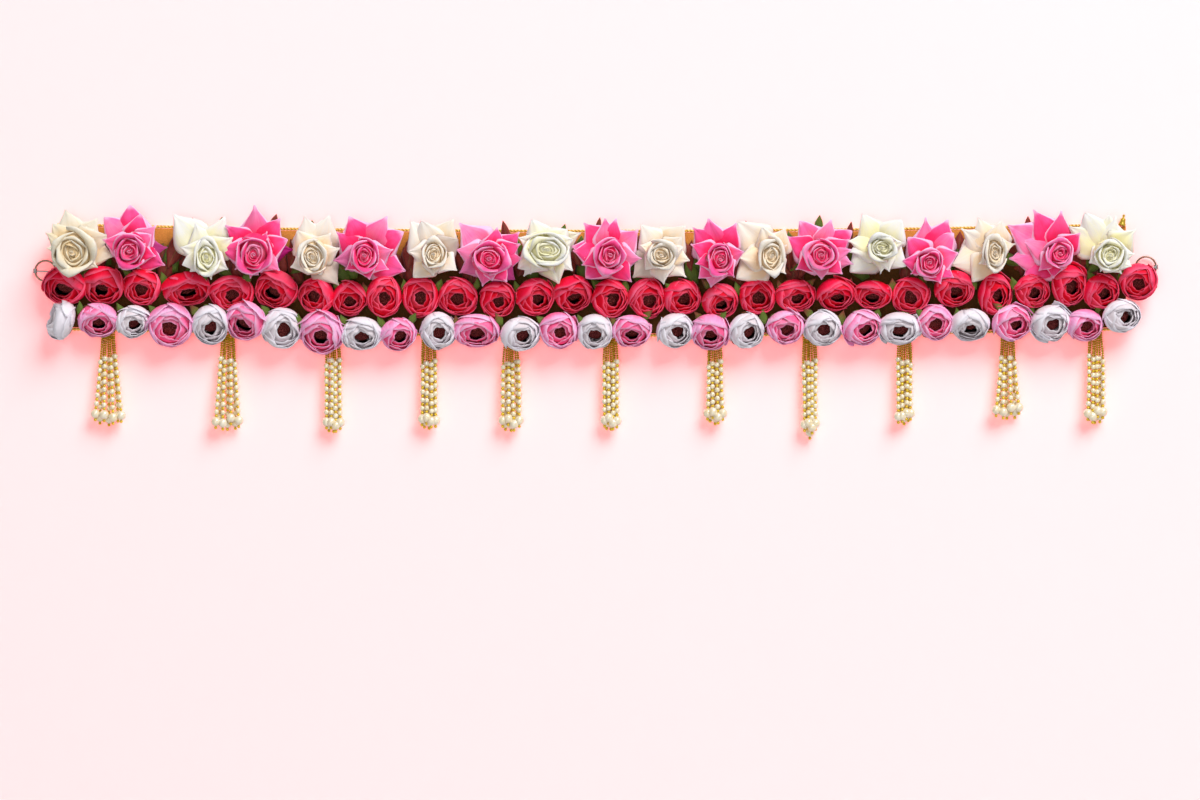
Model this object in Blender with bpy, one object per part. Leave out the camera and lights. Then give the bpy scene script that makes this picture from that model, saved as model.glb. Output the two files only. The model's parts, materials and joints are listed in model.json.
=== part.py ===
"""A floral door hanging: silk roses and buds on a long backing band, with bead tassels under it.

The part hangs flat on a wall. X runs along the band, Z is up and +Y points into the wall. The
origin is the middle of the band's back face. All sizes below are in millimetres.
"""

import math

import bmesh
import bpy
from mathutils import Matrix, Vector

MM = 0.001
GAP = 0.3

# The backing band: its ends, its edges at the ends, and how far its middle hangs lower.
BAND_LEFT = -485.0
BAND_RIGHT = 479.0
BAND_TOP = 48.9
BAND_BOTTOM = -42.0
BAND_THICKNESS = 2.5
BAND_STEPS = 16
SAG = 6.0
BAND_FRONT = -BAND_THICKNESS
SEAT = BAND_FRONT - GAP

# The gold cord along each long edge of the band.
EDGING_RADIUS = 1.4
EDGING_RESOLUTION = 1
EDGING_Y = -1.7
TOP_EDGING_RIGHT = 470.0

# The hanging rings, one past each end, and the wire ties that hold them.
RINGS = (("left", -496.0, 8.5, -1), ("right", 497.0, 12.0, 1))
RING_RADIUS = 9.2
RING_WIRE = 0.7
RING_Y = -2.4
RING_STEPS = 20
WIRE_SIDES = 6
CRIMP_INNER = 1.15
CRIMP_OUTER = 1.9
CRIMP_LENGTH = 4.0
CRIMP_SIDES = 8
TIE_WIRE = 0.6
TIE_OVER_BAND = 5.0
# How far the tie's wire lies below the middle of the ring as it crosses the ring and the band.
TIE_OVER_RING_DOWN = 1.0
TIE_AT_EDGE_DOWN = 1.3
TIE_END_DOWN = 1.5

# Roses, in mm: colour, middle of the bloom (x, z), then the outline's left, right, low and high.
ROSES = (
    ("cream", -468, 26, -494, -429, 5, 63),
    ("pink", -416, 27, -439, -379, 9, 67),
    ("cream", -348, 20, -380, -324, -3, 58),
    ("pink", -305, 24, -336, -270, 3, 67),
    ("cream", -252, 20, -274, -228, -6, 58),
    ("pink", -207, 21, -231, -168, 0, 57),
    ("cream", -144, 22, -169, -125, 2, 54),
    ("pink", -94, 19, -126, -67, -4, 53),
    ("cream", -44, 27, -70, -12, -5, 55),
    ("pink", 13, 23, -21, 41, 0, 57),
    ("cream", 59, 23, 37, 85, -2, 52),
    ("pink", 112, 19, 85, 135, -6, 56),
    ("cream", 158, 21, 127, 174, 0, 52),
    ("pink", 202, 22, 171, 230, -1, 54),
    ("cream", 258, 29, 226, 276, 0, 57),
    ("pink", 300, 15, 274, 325, -1, 58),
    ("cream", 358, 25, 330, 378, 1, 56),
    ("pink", 416, 23, 371, 436, 2, 63),
    ("cream", 462, 22, 426, 485, 5, 62),
)
ROSE_POINTS = 10
ROSE_STUB_Z = 27.0
ROSE_VALLEY = 0.74
ROSE_BLOOM = 13.0
# The star of petals is turned by one of three angles, so that neighbours differ.
ROSE_TURN = math.radians(9)
ROSE_TURNS = 3
# Stations from the band forwards: depth, radius, and how far the ring's centre has moved from the
# stub to the bloom. A radius of None is the pointed rim, scaled by the fourth number.
ROSE_STATIONS = (
    (SEAT, 5.0, 0.0, 0.0),
    (-12.0, 5.0, 0.0, 0.0),
    (-17.0, 11.0, 0.15, 0.0),
    (-28.5, 12.5, 0.5, 0.0),
    (-33.0, None, 1.0, 0.9),
    (-35.5, None, 1.0, 1.0),
    (-43.0, ROSE_BLOOM, 1.0, 0.0),
    (-46.0, 0.6 * ROSE_BLOOM, 1.0, 0.0),
    (-43.0, 0.3 * ROSE_BLOOM, 1.0, 0.0),
)

# Crimson buds of the middle row and white and pink buds of the bottom row, in mm (x, z).
MIDDLE_BUDS = (
    (-476, -4.5), (-442, -3.5), (-407, -6), (-368, -7), (-327, -11), (-286, -8), (-250, -13.5),
    (-221, -16), (-190, -14.5), (-157, -14.5), (-123, -14.5), (-88, -17), (-54, -14.5),
    (-20, -12), (13.5, -16), (47, -16), (78, -15), (112, -18), (146, -13.5), (180, -13.5),
    (217, -12), (250, -12.5), (284, -13.5), (323, -7), (359, -12), (393, -9), (426, -4.5),
    (455, -10), (489, -1),
)
BOTTOM_BUDS = (
    (-478, -37), (-447, -35), (-416, -37), (-382, -40.5), (-346, -39), (-314, -36), (-282, -43),
    (-246, -46), (-210, -48), (-177, -48), (-141, -45), (-107, -45), (-67.5, -48), (-33, -45),
    (0, -46), (33, -45), (72, -45), (103.5, -46), (136, -45), (171, -42), (205, -43), (240, -42),
    (274, -43), (306, -38), (337.5, -39), (375, -38), (410, -38), (440, -40), (473, -32),
)
BUDS_IN_A_GROUP = 3
BUD_SIDES = 8
BUD_STUB = 5.0
BUD_HALF_WIDTH = 17.5
MIDDLE_BUD_UP = 16.5
BOTTOM_BUD_DOWN = 17.0
BUD_TOUCH = 0.8
# The stubs of the bottom row sit higher than their heads, so that they meet the band.
BOTTOM_STUB_LIFT = 6.0
# The line between the two rows of buds: its height at the band's middle, and its rise at the ends.
ROW_LINE = -31.0
ROW_LINE_RISE = 12.0
# Stations from the band forwards: depth, share of the bud's half sizes, share of the way from the
# stub to the head.
BUD_STATIONS = (
    (-10.0, 0.9, 0.7),
    (-20.0, 1.0, 1.0),
    (-28.0, 0.62, 1.0),
    (-30.8, 0.4, 1.0),
    (-27.0, 0.22, 1.0),
)

# Tassels: x of the knot, height of the lowest bead, and width across the lowest beads.
TASSELS = (
    (-439, -132, 33), (-331, -136, 30), (-236, -138, 23), (-150, -135, 23), (-76, -137, 25),
    (14, -136, 22), (108, -131, 24), (193.5, -144, 21), (279, -131, 22), (372, -126, 30),
    (451, -130, 24),
)
LOOP_RADIUS = 1.2
LOOP_STEPS = 8
LOOP_Y = (-3.4, -1.2)
LOOP_DROP = 3.0
HEAD_WIDTH = 12.5
HEAD_Y = (-5.4, -1.0)
HEAD_HEIGHT = 2.0
STRAND_COLUMNS = 4
STRAND_INSET = 0.3
STRAND_GAP = 0.6
SEED_LENGTH = 13.0
SEED_WIDTH = 2.7
SEED_Y = (-6.3, -2.4)
PEARL_WIDTH = 3.6
END_Y = (-10.8, -4.0)
END_LENGTH = 8.0
LAST_BEAD = 6.5
LAST_WIDTH = 2.0
STRAND_DROPS = (2.0, 0.0, 3.5, 1.0, 4.0, 1.5, 0.5)

# The bell-shaped cap at the right end of the top edging: heights above its mouth, and radii.
CAP_FOOT = Vector((476.0, -3.6, BAND_TOP + GAP))
CAP_TILT = math.radians(12)
CAP_SIDES = 10
CAP_PROFILE = (
    (0.0, 3.3), (1.2, 3.4), (3.0, 2.6), (6.0, 2.4), (7.2, 1.0), (8.0, 0.9), (9.4, 1.2), (10.4, 0.7),
)


def drop(x):
    """How far the band hangs below its ends' level at x."""
    return SAG * (1.0 - (x / BAND_LEFT) ** 2)


def row_line(x):
    """Height of the line between the two rows of buds at x."""
    return ROW_LINE + ROW_LINE_RISE * (x / BAND_LEFT) ** 2


def make_material(name, colour, roughness, metallic=0.0):
    material = bpy.data.materials.new(name)
    material.use_nodes = True
    shader = material.node_tree.nodes["Principled BSDF"]
    shader.inputs["Base Color"].default_value = (*colour, 1.0)
    shader.inputs["Roughness"].default_value = roughness
    shader.inputs["Metallic"].default_value = metallic
    return material


def add_piece(name, bm, material, origin=(0.0, 0.0, 0.0)):
    """A named object from a mesh in millimetres, with its own origin at the place given."""
    bmesh.ops.recalc_face_normals(bm, faces=bm.faces)
    bmesh.ops.translate(bm, verts=bm.verts, vec=-Vector(origin))
    bmesh.ops.scale(bm, verts=bm.verts, vec=(MM, MM, MM))
    mesh = bpy.data.meshes.new(name)
    bm.to_mesh(mesh)
    bm.free()
    mesh.materials.append(material)
    mesh.shade_smooth()
    mesh.set_sharp_from_angle(angle=math.radians(40))
    piece = bpy.data.objects.new(name, mesh)
    piece.location = Vector(origin) * MM
    piece.parent = hanger
    bpy.context.scene.collection.objects.link(piece)
    return piece


def loft(rings):
    """A closed body through rings of points, each with as many points, capped at both ends."""
    bm = bmesh.new()
    loops = [[bm.verts.new(point) for point in ring] for ring in rings]
    for near, far in zip(loops, loops[1:]):
        for k in range(len(near)):
            bm.faces.new((near[k - 1], near[k], far[k], far[k - 1]))
    bm.faces.new(loops[0])
    bm.faces.new(loops[-1])
    return bm


def join_bodies(bodies):
    """One closed body, as a mesh in millimetres, from overlapping ones."""
    helpers = []
    for bm in bodies:
        bmesh.ops.recalc_face_normals(bm, faces=bm.faces)
        mesh = bpy.data.meshes.new("helper")
        bm.to_mesh(mesh)
        bm.free()
        helper = bpy.data.objects.new("helper", mesh)
        bpy.context.scene.collection.objects.link(helper)
        helpers.append(helper)
    for other in helpers[1:]:
        union = helpers[0].modifiers.new("union", "BOOLEAN")
        union.operation = "UNION"
        union.solver = "EXACT"
        union.object = other
    depsgraph = bpy.context.evaluated_depsgraph_get()
    joined = bmesh.new()
    joined.from_object(helpers[0], depsgraph)
    for helper in helpers:
        mesh = helper.data
        bpy.data.objects.remove(helper)
        bpy.data.meshes.remove(mesh)
    return joined


def band_edge(height, right=BAND_RIGHT):
    """Points along the band at a height given at its ends."""
    points = []
    for step in range(BAND_STEPS + 1):
        x = BAND_LEFT + (right - BAND_LEFT) * step / BAND_STEPS
        points.append(Vector((x, 0.0, height - drop(x))))
    return points


def make_band():
    bm = bmesh.new()
    top = [bm.verts.new(point) for point in band_edge(BAND_TOP)]
    bottom = [bm.verts.new(point) for point in band_edge(BAND_BOTTOM)]
    for k in range(BAND_STEPS):
        bm.faces.new((top[k], top[k + 1], bottom[k + 1], bottom[k]))
    back = bm.faces[:]
    front = bmesh.ops.extrude_face_region(bm, geom=back, use_keep_orig=True)["geom"]
    moved = [item for item in front if isinstance(item, bmesh.types.BMVert)]
    bmesh.ops.translate(bm, verts=moved, vec=(0.0, BAND_FRONT, 0.0))
    add_piece("backing_band", bm, felt)


def make_edging(name, height, right=BAND_RIGHT):
    """A round cord along one long edge of the band."""
    curve = bpy.data.curves.new(name, "CURVE")
    curve.dimensions = "3D"
    curve.bevel_depth = EDGING_RADIUS * MM
    curve.bevel_resolution = EDGING_RESOLUTION
    curve.use_fill_caps = True
    curve.materials.append(gold)
    route = band_edge(height, right)
    spline = curve.splines.new("POLY")
    spline.points.add(len(route) - 1)
    for point, place in zip(spline.points, route):
        point.co = (place.x * MM, EDGING_Y * MM, place.z * MM, 1.0)
    piece = bpy.data.objects.new(name, curve)
    piece.parent = hanger
    bpy.context.scene.collection.objects.link(piece)


def make_rose(number, place, cell_left, cell_right):
    """A rose on its stub: calyx, a rim of pointed petals, and the rolled bloom in front."""
    colour, bloom_x, bloom_z, _, _, low, high = place
    stub = Vector((bloom_x, 0.0, ROSE_STUB_Z - drop(bloom_x)))
    bloom = Vector((bloom_x, 0.0, bloom_z))
    turn = ROSE_TURN * (number % ROSE_TURNS - 1)
    rings = []
    for depth, radius, move, rim in ROSE_STATIONS:
        centre = stub.lerp(bloom, move)
        ring = []
        for k in range(ROSE_POINTS):
            angle = turn + math.tau * (k / ROSE_POINTS + 0.25)
            across, up = math.cos(angle), math.sin(angle)
            if radius is None:
                lobe = rim * (1.0 if k % 2 == 0 else ROSE_VALLEY)
                across *= lobe * (cell_right - bloom_x if across > 0 else bloom_x - cell_left)
                up *= lobe * (high - bloom_z if up > 0 else bloom_z - low)
            else:
                across *= radius
                up *= radius
            ring.append((centre.x + across, depth, centre.z + up))
        rings.append(ring)
    silk = pink_silk if colour == "pink" else cream_silk
    add_piece(f"rose_{number:02d}", loft(rings), silk, (stub.x, SEAT, stub.z))


def bud_seat(x, z, lift):
    """Where a bud's stub meets the band, kept inside the band's ends."""
    inside = BAND_RIGHT - BUD_STUB
    return Vector((max(BAND_LEFT + BUD_STUB, min(x, inside)), SEAT, z + lift))


def make_bud(seat, x, z, left, right, down, up):
    """A round bud with a hollow at its mouth, from its stub on the band."""
    # The flats of the eight-sided head, not its corners, reach the sizes given.
    stretch = 1.0 / math.cos(math.pi / BUD_SIDES)
    turns = [math.tau * (k + 0.5) / BUD_SIDES for k in range(BUD_SIDES)]
    stub = []
    for angle in turns:
        stub.append(seat + BUD_STUB * Vector((math.cos(angle), 0.0, math.sin(angle))))
    rings = [stub]
    for depth, size, move in BUD_STATIONS:
        centre = seat.lerp(Vector((x, 0.0, z)), move)
        ring = []
        for angle in turns:
            across = size * stretch * math.cos(angle)
            across *= right if across > 0 else left
            rise = size * stretch * math.sin(angle)
            rise *= up if rise > 0 else down
            ring.append((centre.x + across, depth, centre.z + rise))
        rings.append(ring)
    return loft(rings)


def middle_heights(x, z):
    """How far a bud of the middle row reaches down and up."""
    return z - row_line(x) - GAP, MIDDLE_BUD_UP


def bottom_heights(x, z):
    """How far a bud of the bottom row reaches down and up."""
    return BOTTOM_BUD_DOWN, row_line(x) - z - GAP


def make_bud_row(row, buds, silks, lift, heights):
    """A row of buds, in groups whose buds touch each other; heights gives how far each reaches."""
    for first in range(0, len(buds), BUDS_IN_A_GROUP):
        group = range(first, min(first + BUDS_IN_A_GROUP, len(buds)))
        bodies = []
        for k in group:
            x, z = buds[k]
            left = right = BUD_HALF_WIDTH
            if k > 0:
                left = (x - buds[k - 1][0]) / 2 + (BUD_TOUCH if k > group[0] else -GAP)
            if k < len(buds) - 1:
                right = (buds[k + 1][0] - x) / 2 + (BUD_TOUCH if k < group[-1] else -GAP)
            down, up = heights(x, z)
            bodies.append(make_bud(bud_seat(x, z, lift), x, z, left, right, down, up))
        number = first // BUDS_IN_A_GROUP
        origin = bud_seat(*buds[group[len(group) // 2]], lift)
        silk = silks[number % len(silks)]
        add_piece(f"{row}_buds_{number + 1:02d}", join_bodies(bodies), silk, origin)


def tassel_pivot(x):
    """Middle of the thread loop that a tassel swings on, under the bottom edging."""
    edging_foot = BAND_BOTTOM - drop(x) - GAP - 2 * EDGING_RADIUS
    return Vector((x, sum(LOOP_Y) / 2, edging_foot - GAP - LOOP_RADIUS))


def make_loop(pivot, head_top):
    """The flat thread loop over the pivot, with legs down into the tassel's head."""
    outline = []
    for k in range(LOOP_STEPS + 1):
        angle = math.pi * k / LOOP_STEPS
        across, up = LOOP_RADIUS * math.cos(angle), LOOP_RADIUS * math.sin(angle)
        outline.append((pivot.x + across, pivot.z + up))
    sunk = head_top - HEAD_HEIGHT / 2
    outline += [(pivot.x - LOOP_RADIUS, sunk), (pivot.x + LOOP_RADIUS, sunk)]
    return loft([[(x, y, z) for x, z in outline] for y in LOOP_Y])


def make_strands(pivot, head_top, lowest, width, spare):
    """The tassel's head with bead strands that fan out below it."""
    bm = bmesh.new()
    middle_y = sum(HEAD_Y) / 2
    head_foot = head_top - HEAD_HEIGHT
    size = Matrix.Diagonal((HEAD_WIDTH, HEAD_Y[1] - HEAD_Y[0], HEAD_HEIGHT, 1.0))
    centre = Matrix.Translation((pivot.x, middle_y, head_top - HEAD_HEIGHT / 2))
    bmesh.ops.create_cube(bm, size=1.0, matrix=centre @ size)
    # The head is cut into a grid, so that one strand can be drawn from each square of its underside.
    cuts = [((0, middle_y, 0), (0, 1, 0))]
    for k in range(1, STRAND_COLUMNS):
        cuts.append(((pivot.x + HEAD_WIDTH * (k / STRAND_COLUMNS - 0.5), 0, 0), (1, 0, 0)))
    for place, normal in cuts:
        everything = bm.verts[:] + bm.edges[:] + bm.faces[:]
        bmesh.ops.bisect_plane(bm, geom=everything, plane_co=place, plane_no=normal, dist=1e-5)
    below = [f for f in bm.faces if f.calc_center_median().z < head_foot + 0.01]
    below.sort(key=lambda f: (f.calc_center_median().y, f.calc_center_median().x))
    strands = [f for k, f in enumerate(below) if k != STRAND_COLUMNS + spare]
    bmesh.ops.inset_individual(bm, faces=strands, thickness=STRAND_INSET)
    column = HEAD_WIDTH / STRAND_COLUMNS
    reach = (width - LAST_BEAD) / (HEAD_WIDTH - column)
    last_bead = min(LAST_BEAD, reach * column - STRAND_GAP)
    corners_in_order = ((-1, -1), (-1, 1), (1, -1), (1, 1))
    for face, shorter in zip(strands, STRAND_DROPS):
        top = face.calc_center_median()
        row = 0 if top.y < middle_y else 1
        low = lowest + shorter
        end = Vector((pivot.x + reach * (top.x - pivot.x), END_Y[row], low + END_LENGTH))
        seeds = top.lerp(end, SEED_LENGTH / (head_foot - low))
        seeds.y = SEED_Y[row]
        down = Vector((0.0, 0.0, -END_LENGTH))
        stages = (
            (seeds, SEED_WIDTH), (end, PEARL_WIDTH), (end + down / 2, last_bead), (end + down, LAST_WIDTH),
        )
        for place, across in stages:
            face = bmesh.ops.extrude_discrete_faces(bm, faces=[face])["faces"][0]
            corners = sorted(face.verts, key=lambda v: (v.co.x, v.co.y))
            for corner, (side, front) in zip(corners, corners_in_order):
                corner.co = place + Vector((side * across / 2, front * across / 2, 0.0))
    return bm


def make_tassel(number, place):
    x, lowest, width = place
    pivot = tassel_pivot(x)
    head_top = pivot.z - LOOP_DROP
    strands = make_strands(pivot, head_top, lowest, width, number % STRAND_COLUMNS)
    body = join_bodies([strands, make_loop(pivot, head_top)])
    add_piece(f"tassel_{number:02d}", body, pearl, pivot)


def circle(radius, sides, height=0.0):
    """Points of a level circle about the Z axis."""
    turns = [math.tau * k / sides for k in range(sides)]
    return [Vector((radius * math.cos(angle), radius * math.sin(angle), height)) for angle in turns]


def tube_along(route, radius):
    """A round wire along a route of points."""
    rings = []
    for k, place in enumerate(route):
        along = (route[min(k + 1, len(route) - 1)] - route[max(k - 1, 0)]).normalized()
        turned = along.to_track_quat("Z", "Y").to_matrix()
        rings.append([place + turned @ point for point in circle(radius, WIRE_SIDES)])
    return loft(rings)


def make_ring(side, x, z):
    """A wire ring, turned about the axis into the wall."""
    bm = bmesh.new()
    centre = Vector((x, RING_Y, z))
    start = Matrix.Translation(centre + Vector((RING_RADIUS, 0.0, 0.0)))
    section = bmesh.ops.create_circle(
        bm, segments=WIRE_SIDES, radius=RING_WIRE, matrix=start
    )["verts"]
    edges = list({edge for vert in section for edge in vert.link_edges})
    bmesh.ops.spin(
        bm, geom=section + edges, cent=centre, axis=(0.0, 1.0, 0.0), angle=math.tau,
        steps=RING_STEPS, use_merge=True,
    )
    add_piece(f"hanging_ring_{side}", bm, bronze, centre)


def make_ring_tie(side, x, z, outward):
    """A crimp round the ring's outer side, with the wire that runs from it on to the band."""
    crimp = Vector((x + outward * RING_RADIUS, RING_Y, z))
    bm = bmesh.new()
    end = CRIMP_LENGTH / 2
    rings = []
    for radius, height in (
        (CRIMP_INNER, -end), (CRIMP_OUTER, -end), (CRIMP_OUTER, end), (CRIMP_INNER, end),
    ):
        rings.append([bm.verts.new(crimp + point) for point in circle(radius, CRIMP_SIDES, height)])
    for near, far in zip(rings, rings[1:] + rings[:1]):
        for k in range(CRIMP_SIDES):
            bm.faces.new((near[k - 1], near[k], far[k], far[k - 1]))
    start = crimp + Vector((-outward * TIE_WIRE, -(CRIMP_INNER + CRIMP_OUTER) / 2, 0.0))
    # The wire clears the front of the ring by more than the gap, because it crosses there at a slant.
    before_ring = RING_Y - RING_WIRE - 1.5 * GAP - TIE_WIRE
    over_ring = Vector((x - outward * RING_RADIUS, before_ring, z - TIE_OVER_RING_DOWN))
    band_end = BAND_RIGHT if outward > 0 else BAND_LEFT
    at_edge = Vector((band_end, SEAT - TIE_WIRE - GAP / 3, z - TIE_AT_EDGE_DOWN))
    on_band = Vector((band_end - outward * TIE_OVER_BAND, SEAT - TIE_WIRE, z - TIE_END_DOWN))
    wire = tube_along([start, over_ring, at_edge, on_band], TIE_WIRE)
    add_piece(f"ring_tie_{side}", join_bodies([bm, wire]), steel, crimp)


def make_end_cap():
    """The small bell-shaped gold cap that ends the top edging."""
    lean = Matrix.Rotation(CAP_TILT, 3, "Y")
    # The leaning mouth is lifted until its lower rim clears the band.
    mouth = CAP_FOOT + Vector((0.0, 0.0, CAP_PROFILE[0][1] * math.sin(CAP_TILT)))
    rings = []
    for height, radius in CAP_PROFILE:
        rings.append([mouth + lean @ point for point in circle(radius, CAP_SIDES, height)])
    add_piece("end_cap", loft(rings), gold, CAP_FOOT)


for leftover in list(bpy.data.objects):
    bpy.data.objects.remove(leftover)

hanger = bpy.data.objects.new("door_hanging", None)
bpy.context.scene.collection.objects.link(hanger)

felt = make_material("band_felt", (0.16, 0.09, 0.03), 0.9)
gold = make_material("gold_cord", (0.72, 0.42, 0.07), 0.35, 0.9)
bronze = make_material("bronze_wire", (0.22, 0.13, 0.06), 0.35, 1.0)
steel = make_material("steel_wire", (0.6, 0.6, 0.62), 0.3, 1.0)
pearl = make_material("pearl_beads", (0.85, 0.74, 0.55), 0.25)
pink_silk = make_material("rose_pink", (0.86, 0.09, 0.3), 0.7)
cream_silk = make_material("rose_cream", (0.84, 0.79, 0.6), 0.7)
crimson_silk = make_material("bud_crimson", (0.6, 0.01, 0.06), 0.65)
white_silk = make_material("bud_white", (0.78, 0.77, 0.8), 0.7)
bud_pink_silk = make_material("bud_pink", (0.87, 0.2, 0.45), 0.7)

make_band()
make_edging("edging_top", BAND_TOP + GAP + EDGING_RADIUS, TOP_EDGING_RIGHT)
make_edging("edging_bottom", BAND_BOTTOM - GAP - EDGING_RADIUS)

# Neighbouring roses share the room between their outlines.
for number, place in enumerate(ROSES, 1):
    left, right = place[3], place[4]
    if number > 1:
        left = (left + ROSES[number - 2][4]) / 2 + GAP / 2
    if number < len(ROSES):
        right = (right + ROSES[number][3]) / 2 - GAP / 2
    make_rose(number, place, left, right)

make_bud_row("middle", MIDDLE_BUDS, (crimson_silk,), 0.0, middle_heights)
make_bud_row("bottom", BOTTOM_BUDS, (white_silk, bud_pink_silk), BOTTOM_STUB_LIFT, bottom_heights)

for number, place in enumerate(TASSELS, 1):
    make_tassel(number, place)

for side, x, z, outward in RINGS:
    make_ring(side, x, z)
    make_ring_tie(side, x, z, outward)

make_end_cap()
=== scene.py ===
"""The looks of a floral door hanging: silk roses over two rows of silk buds, with bead tassels.

Sizes are in millimetres. X runs along the band, Z is up, and the wall is the plane y = 0, with
the room on its -Y side. A flower is shaped in its own frame: +Z out of its mouth and +Y up.
"""

import json
import math
import random

import bmesh
import bpy
from mathutils import Matrix, Vector


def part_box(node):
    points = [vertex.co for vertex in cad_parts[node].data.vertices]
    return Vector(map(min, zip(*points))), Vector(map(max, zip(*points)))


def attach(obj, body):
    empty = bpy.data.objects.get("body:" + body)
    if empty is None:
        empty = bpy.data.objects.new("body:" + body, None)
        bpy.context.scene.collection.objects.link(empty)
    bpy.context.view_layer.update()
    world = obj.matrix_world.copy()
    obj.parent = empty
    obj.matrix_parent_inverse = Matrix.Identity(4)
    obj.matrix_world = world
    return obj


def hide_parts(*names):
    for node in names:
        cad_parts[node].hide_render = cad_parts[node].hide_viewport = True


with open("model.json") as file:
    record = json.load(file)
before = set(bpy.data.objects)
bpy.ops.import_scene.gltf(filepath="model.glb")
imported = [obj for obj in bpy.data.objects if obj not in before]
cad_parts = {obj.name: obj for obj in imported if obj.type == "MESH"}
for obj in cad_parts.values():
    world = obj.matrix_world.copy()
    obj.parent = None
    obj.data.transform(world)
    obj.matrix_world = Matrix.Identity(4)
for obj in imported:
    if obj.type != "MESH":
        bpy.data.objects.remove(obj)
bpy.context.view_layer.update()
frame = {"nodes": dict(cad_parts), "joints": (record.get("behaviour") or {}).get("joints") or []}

MM = 0.001
GARLAND = "garland"

# The camera faces the wall squarely.
CAMERA_PLACE = (4.5, -4815.0, -108.0)
CAMERA_LENS = 160.0

# Light: a soft lamp high on the right, weaker ones in front and behind, and an even fill. Each
# lamp has its direction from the hanging, its size in metres and its power in watts.
LAMPS = (
    ("high_lamp", Vector((0.4, -0.63, 0.75)), 4.4, 540.0),
    ("front_lamp", Vector((-0.1, -1.0, -0.05)), 3.6, 125.0),
    ("back_lamp", Vector((-0.4, 1.0, 0.4)), 3.6, 200.0),
)
LAMP_DISTANCE = 7500.0
FILL = 0.2
ROOM_COLOUR = (1.0, 0.95, 0.95)

# The wall and the floor: how much light each returns, and the glow that only the camera sees. The
# floor returns little, so that the wall isn't lit from below.
WALL_GREY = 0.93
WALL_GLOW = (0.74, 0.0, 0.01)
FLOOR_GREY = 0.3
FLOOR_GLOW = (0.8, 0.78, 0.78)
WALL_GAP = 1.0
FLOOR_DEPTH = 750.0
STAGE_SIZE = 6000.0

SILK_THICKNESS = 0.35
# The name under which a petal's points keep their place on it.
PETAL_MARK = "petal"
# The share of a pointed petal's half width that faces the room, before its margin rolls back.
FACING = 0.72

# Roses: silk, middle of the bloom (x, z), width and height of the bloom, then the petal tips round
# it as (across, up) from its middle. A third number paints shade on a petal turned into the shade.
ROSES = (
    ("olive", -468, 26, 40, 40, (
        (-8, 37), (-19, 24), (21, 29), (-25, 16), (-24, 2), (35, -5), (31, 14), (-18, -13), (22, -15))),
    ("pink", -416, 27, 29, 32, (
        (-2, 40), (-25, 29), (-26, 9), (8, 32), (-11, -16), (30, -14), (32, 2, 0.8), (22, -6), (18, 13),
        (22, 22))),
    ("white", -348, 20, 25, 36, (
        (-31, 39), (-24, 9), (-22, -7), (-15, -13), (4, -20), (15, 37), (23, 18), (19, -11), (-11, 31))),
    ("pink", -305, 24, 34, 38, (
        (-1, 43), (-27, 25), (-31, 4), (22, 31), (29, 12), (22, -16), (-4, -23), (-18, -15),
        (34, 3, 1.0), (11, 19))),
    ("cream", -252, 20, 27, 33, (
        (-9, 37), (13, 38), (-15, 24), (-21, -9), (-15, -10), (23, 8), (22, -25, 0.5), (15, 22), (6, -16))),
    ("pink", -207, 21, 27, 32, (
        (-14, 36), (20, 36), (-25, 22), (35, 22), (37, -13), (-28, -4, 0.5), (5, -21), (-17, -12),
        (22, -12), (26, 6))),
    ("cream", -144, 22, 24, 27, (
        (-22, 31), (-12, 31), (17, 33), (-24, 3), (-19, -20), (-1, -19), (21, 14, 0.5), (20, -14))),
    ("pink", -94, 19, 36, 30, (
        (-28, 32), (6, 28), (26, 24), (27, 13), (29, 0), (-31, 8), (-28, -13, 0.5), (-7, -25), (2, -20),
        (15, -21), (22, -19, 0.8))),
    ("white", -44, 27, 43, 34, (
        (-13, 27), (19, 18), (-25, 11), (24, 9), (31, 15), (-25, -17), (-20, -24), (-14, -22), (12, -32),
        (8, -21), (24, -19))),
    ("pink", 13, 23, 29, 32, (
        (-4, 32), (6, 32), (-23, 28), (26, 22), (-34, 7), (-33, 3), (29, -4), (20, -25), (-21, -22),
        (-25, -10))),
    ("cream", 59, 23, 27, 27, (
        (-18, 27), (22, 26), (-19, 8), (26, -6), (23, -21), (3, -27), (-14, -14), (-25, -21, 0.5),
        (20, 6), (19, 15))),
    ("pink", 112, 19, 24, 31, (
        (-10, 36), (15, 32), (-24, 28), (-26, 13), (22, 6), (-22, -5), (-19, -18), (-8, -26), (13, -17))),
    ("cream", 158, 21, 25, 34, (
        (-30, 31), (14, 10), (13, -16), (3, -20), (-31, -20), (-30, -1), (-8, 26), (13, 26))),
    ("pink", 202, 22, 32, 29, (
        (-18, 31), (10, 32), (-30, 17), (29, 22), (26, 14), (28, 5), (30, -8), (1, -22), (-22, -13),
        (20, -17))),
    ("white", 258, 29, 27, 25, (
        (-18, 30), (17, 25), (-31, 6), (-30, -4), (-29, -22), (21, -17), (-2, -24), (6, -22), (19, 4))),
    ("pink", 300, 15, 27, 27, (
        (-3, 41), (17, 39), (-19, 23), (22, 27), (26, 9), (-24, 2), (-17, -10), (22, -13), (10, -19),
        (-3, -15))),
    ("cream", 358, 25, 23, 34, (
        (-14, 31), (7, 28), (-29, 21), (19, 7), (-39, -12), (-19, -27), (8, -15), (-14, -11))),
    ("pink", 416, 23, 27, 27, (
        (-22, 40), (3, 39), (-45, 26), (19, 19), (-44, -4), (-31, -21), (-18, -15), (-5, -22), (-33, 13))),
    ("white", 462, 22, 32, 31, (
        (-22, 38), (0, 37), (6, 35), (-36, 26), (24, 23), (22, 1), (10, -17), (-9, -15), (-19, -7),
        (19, -10))),
)

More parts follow.
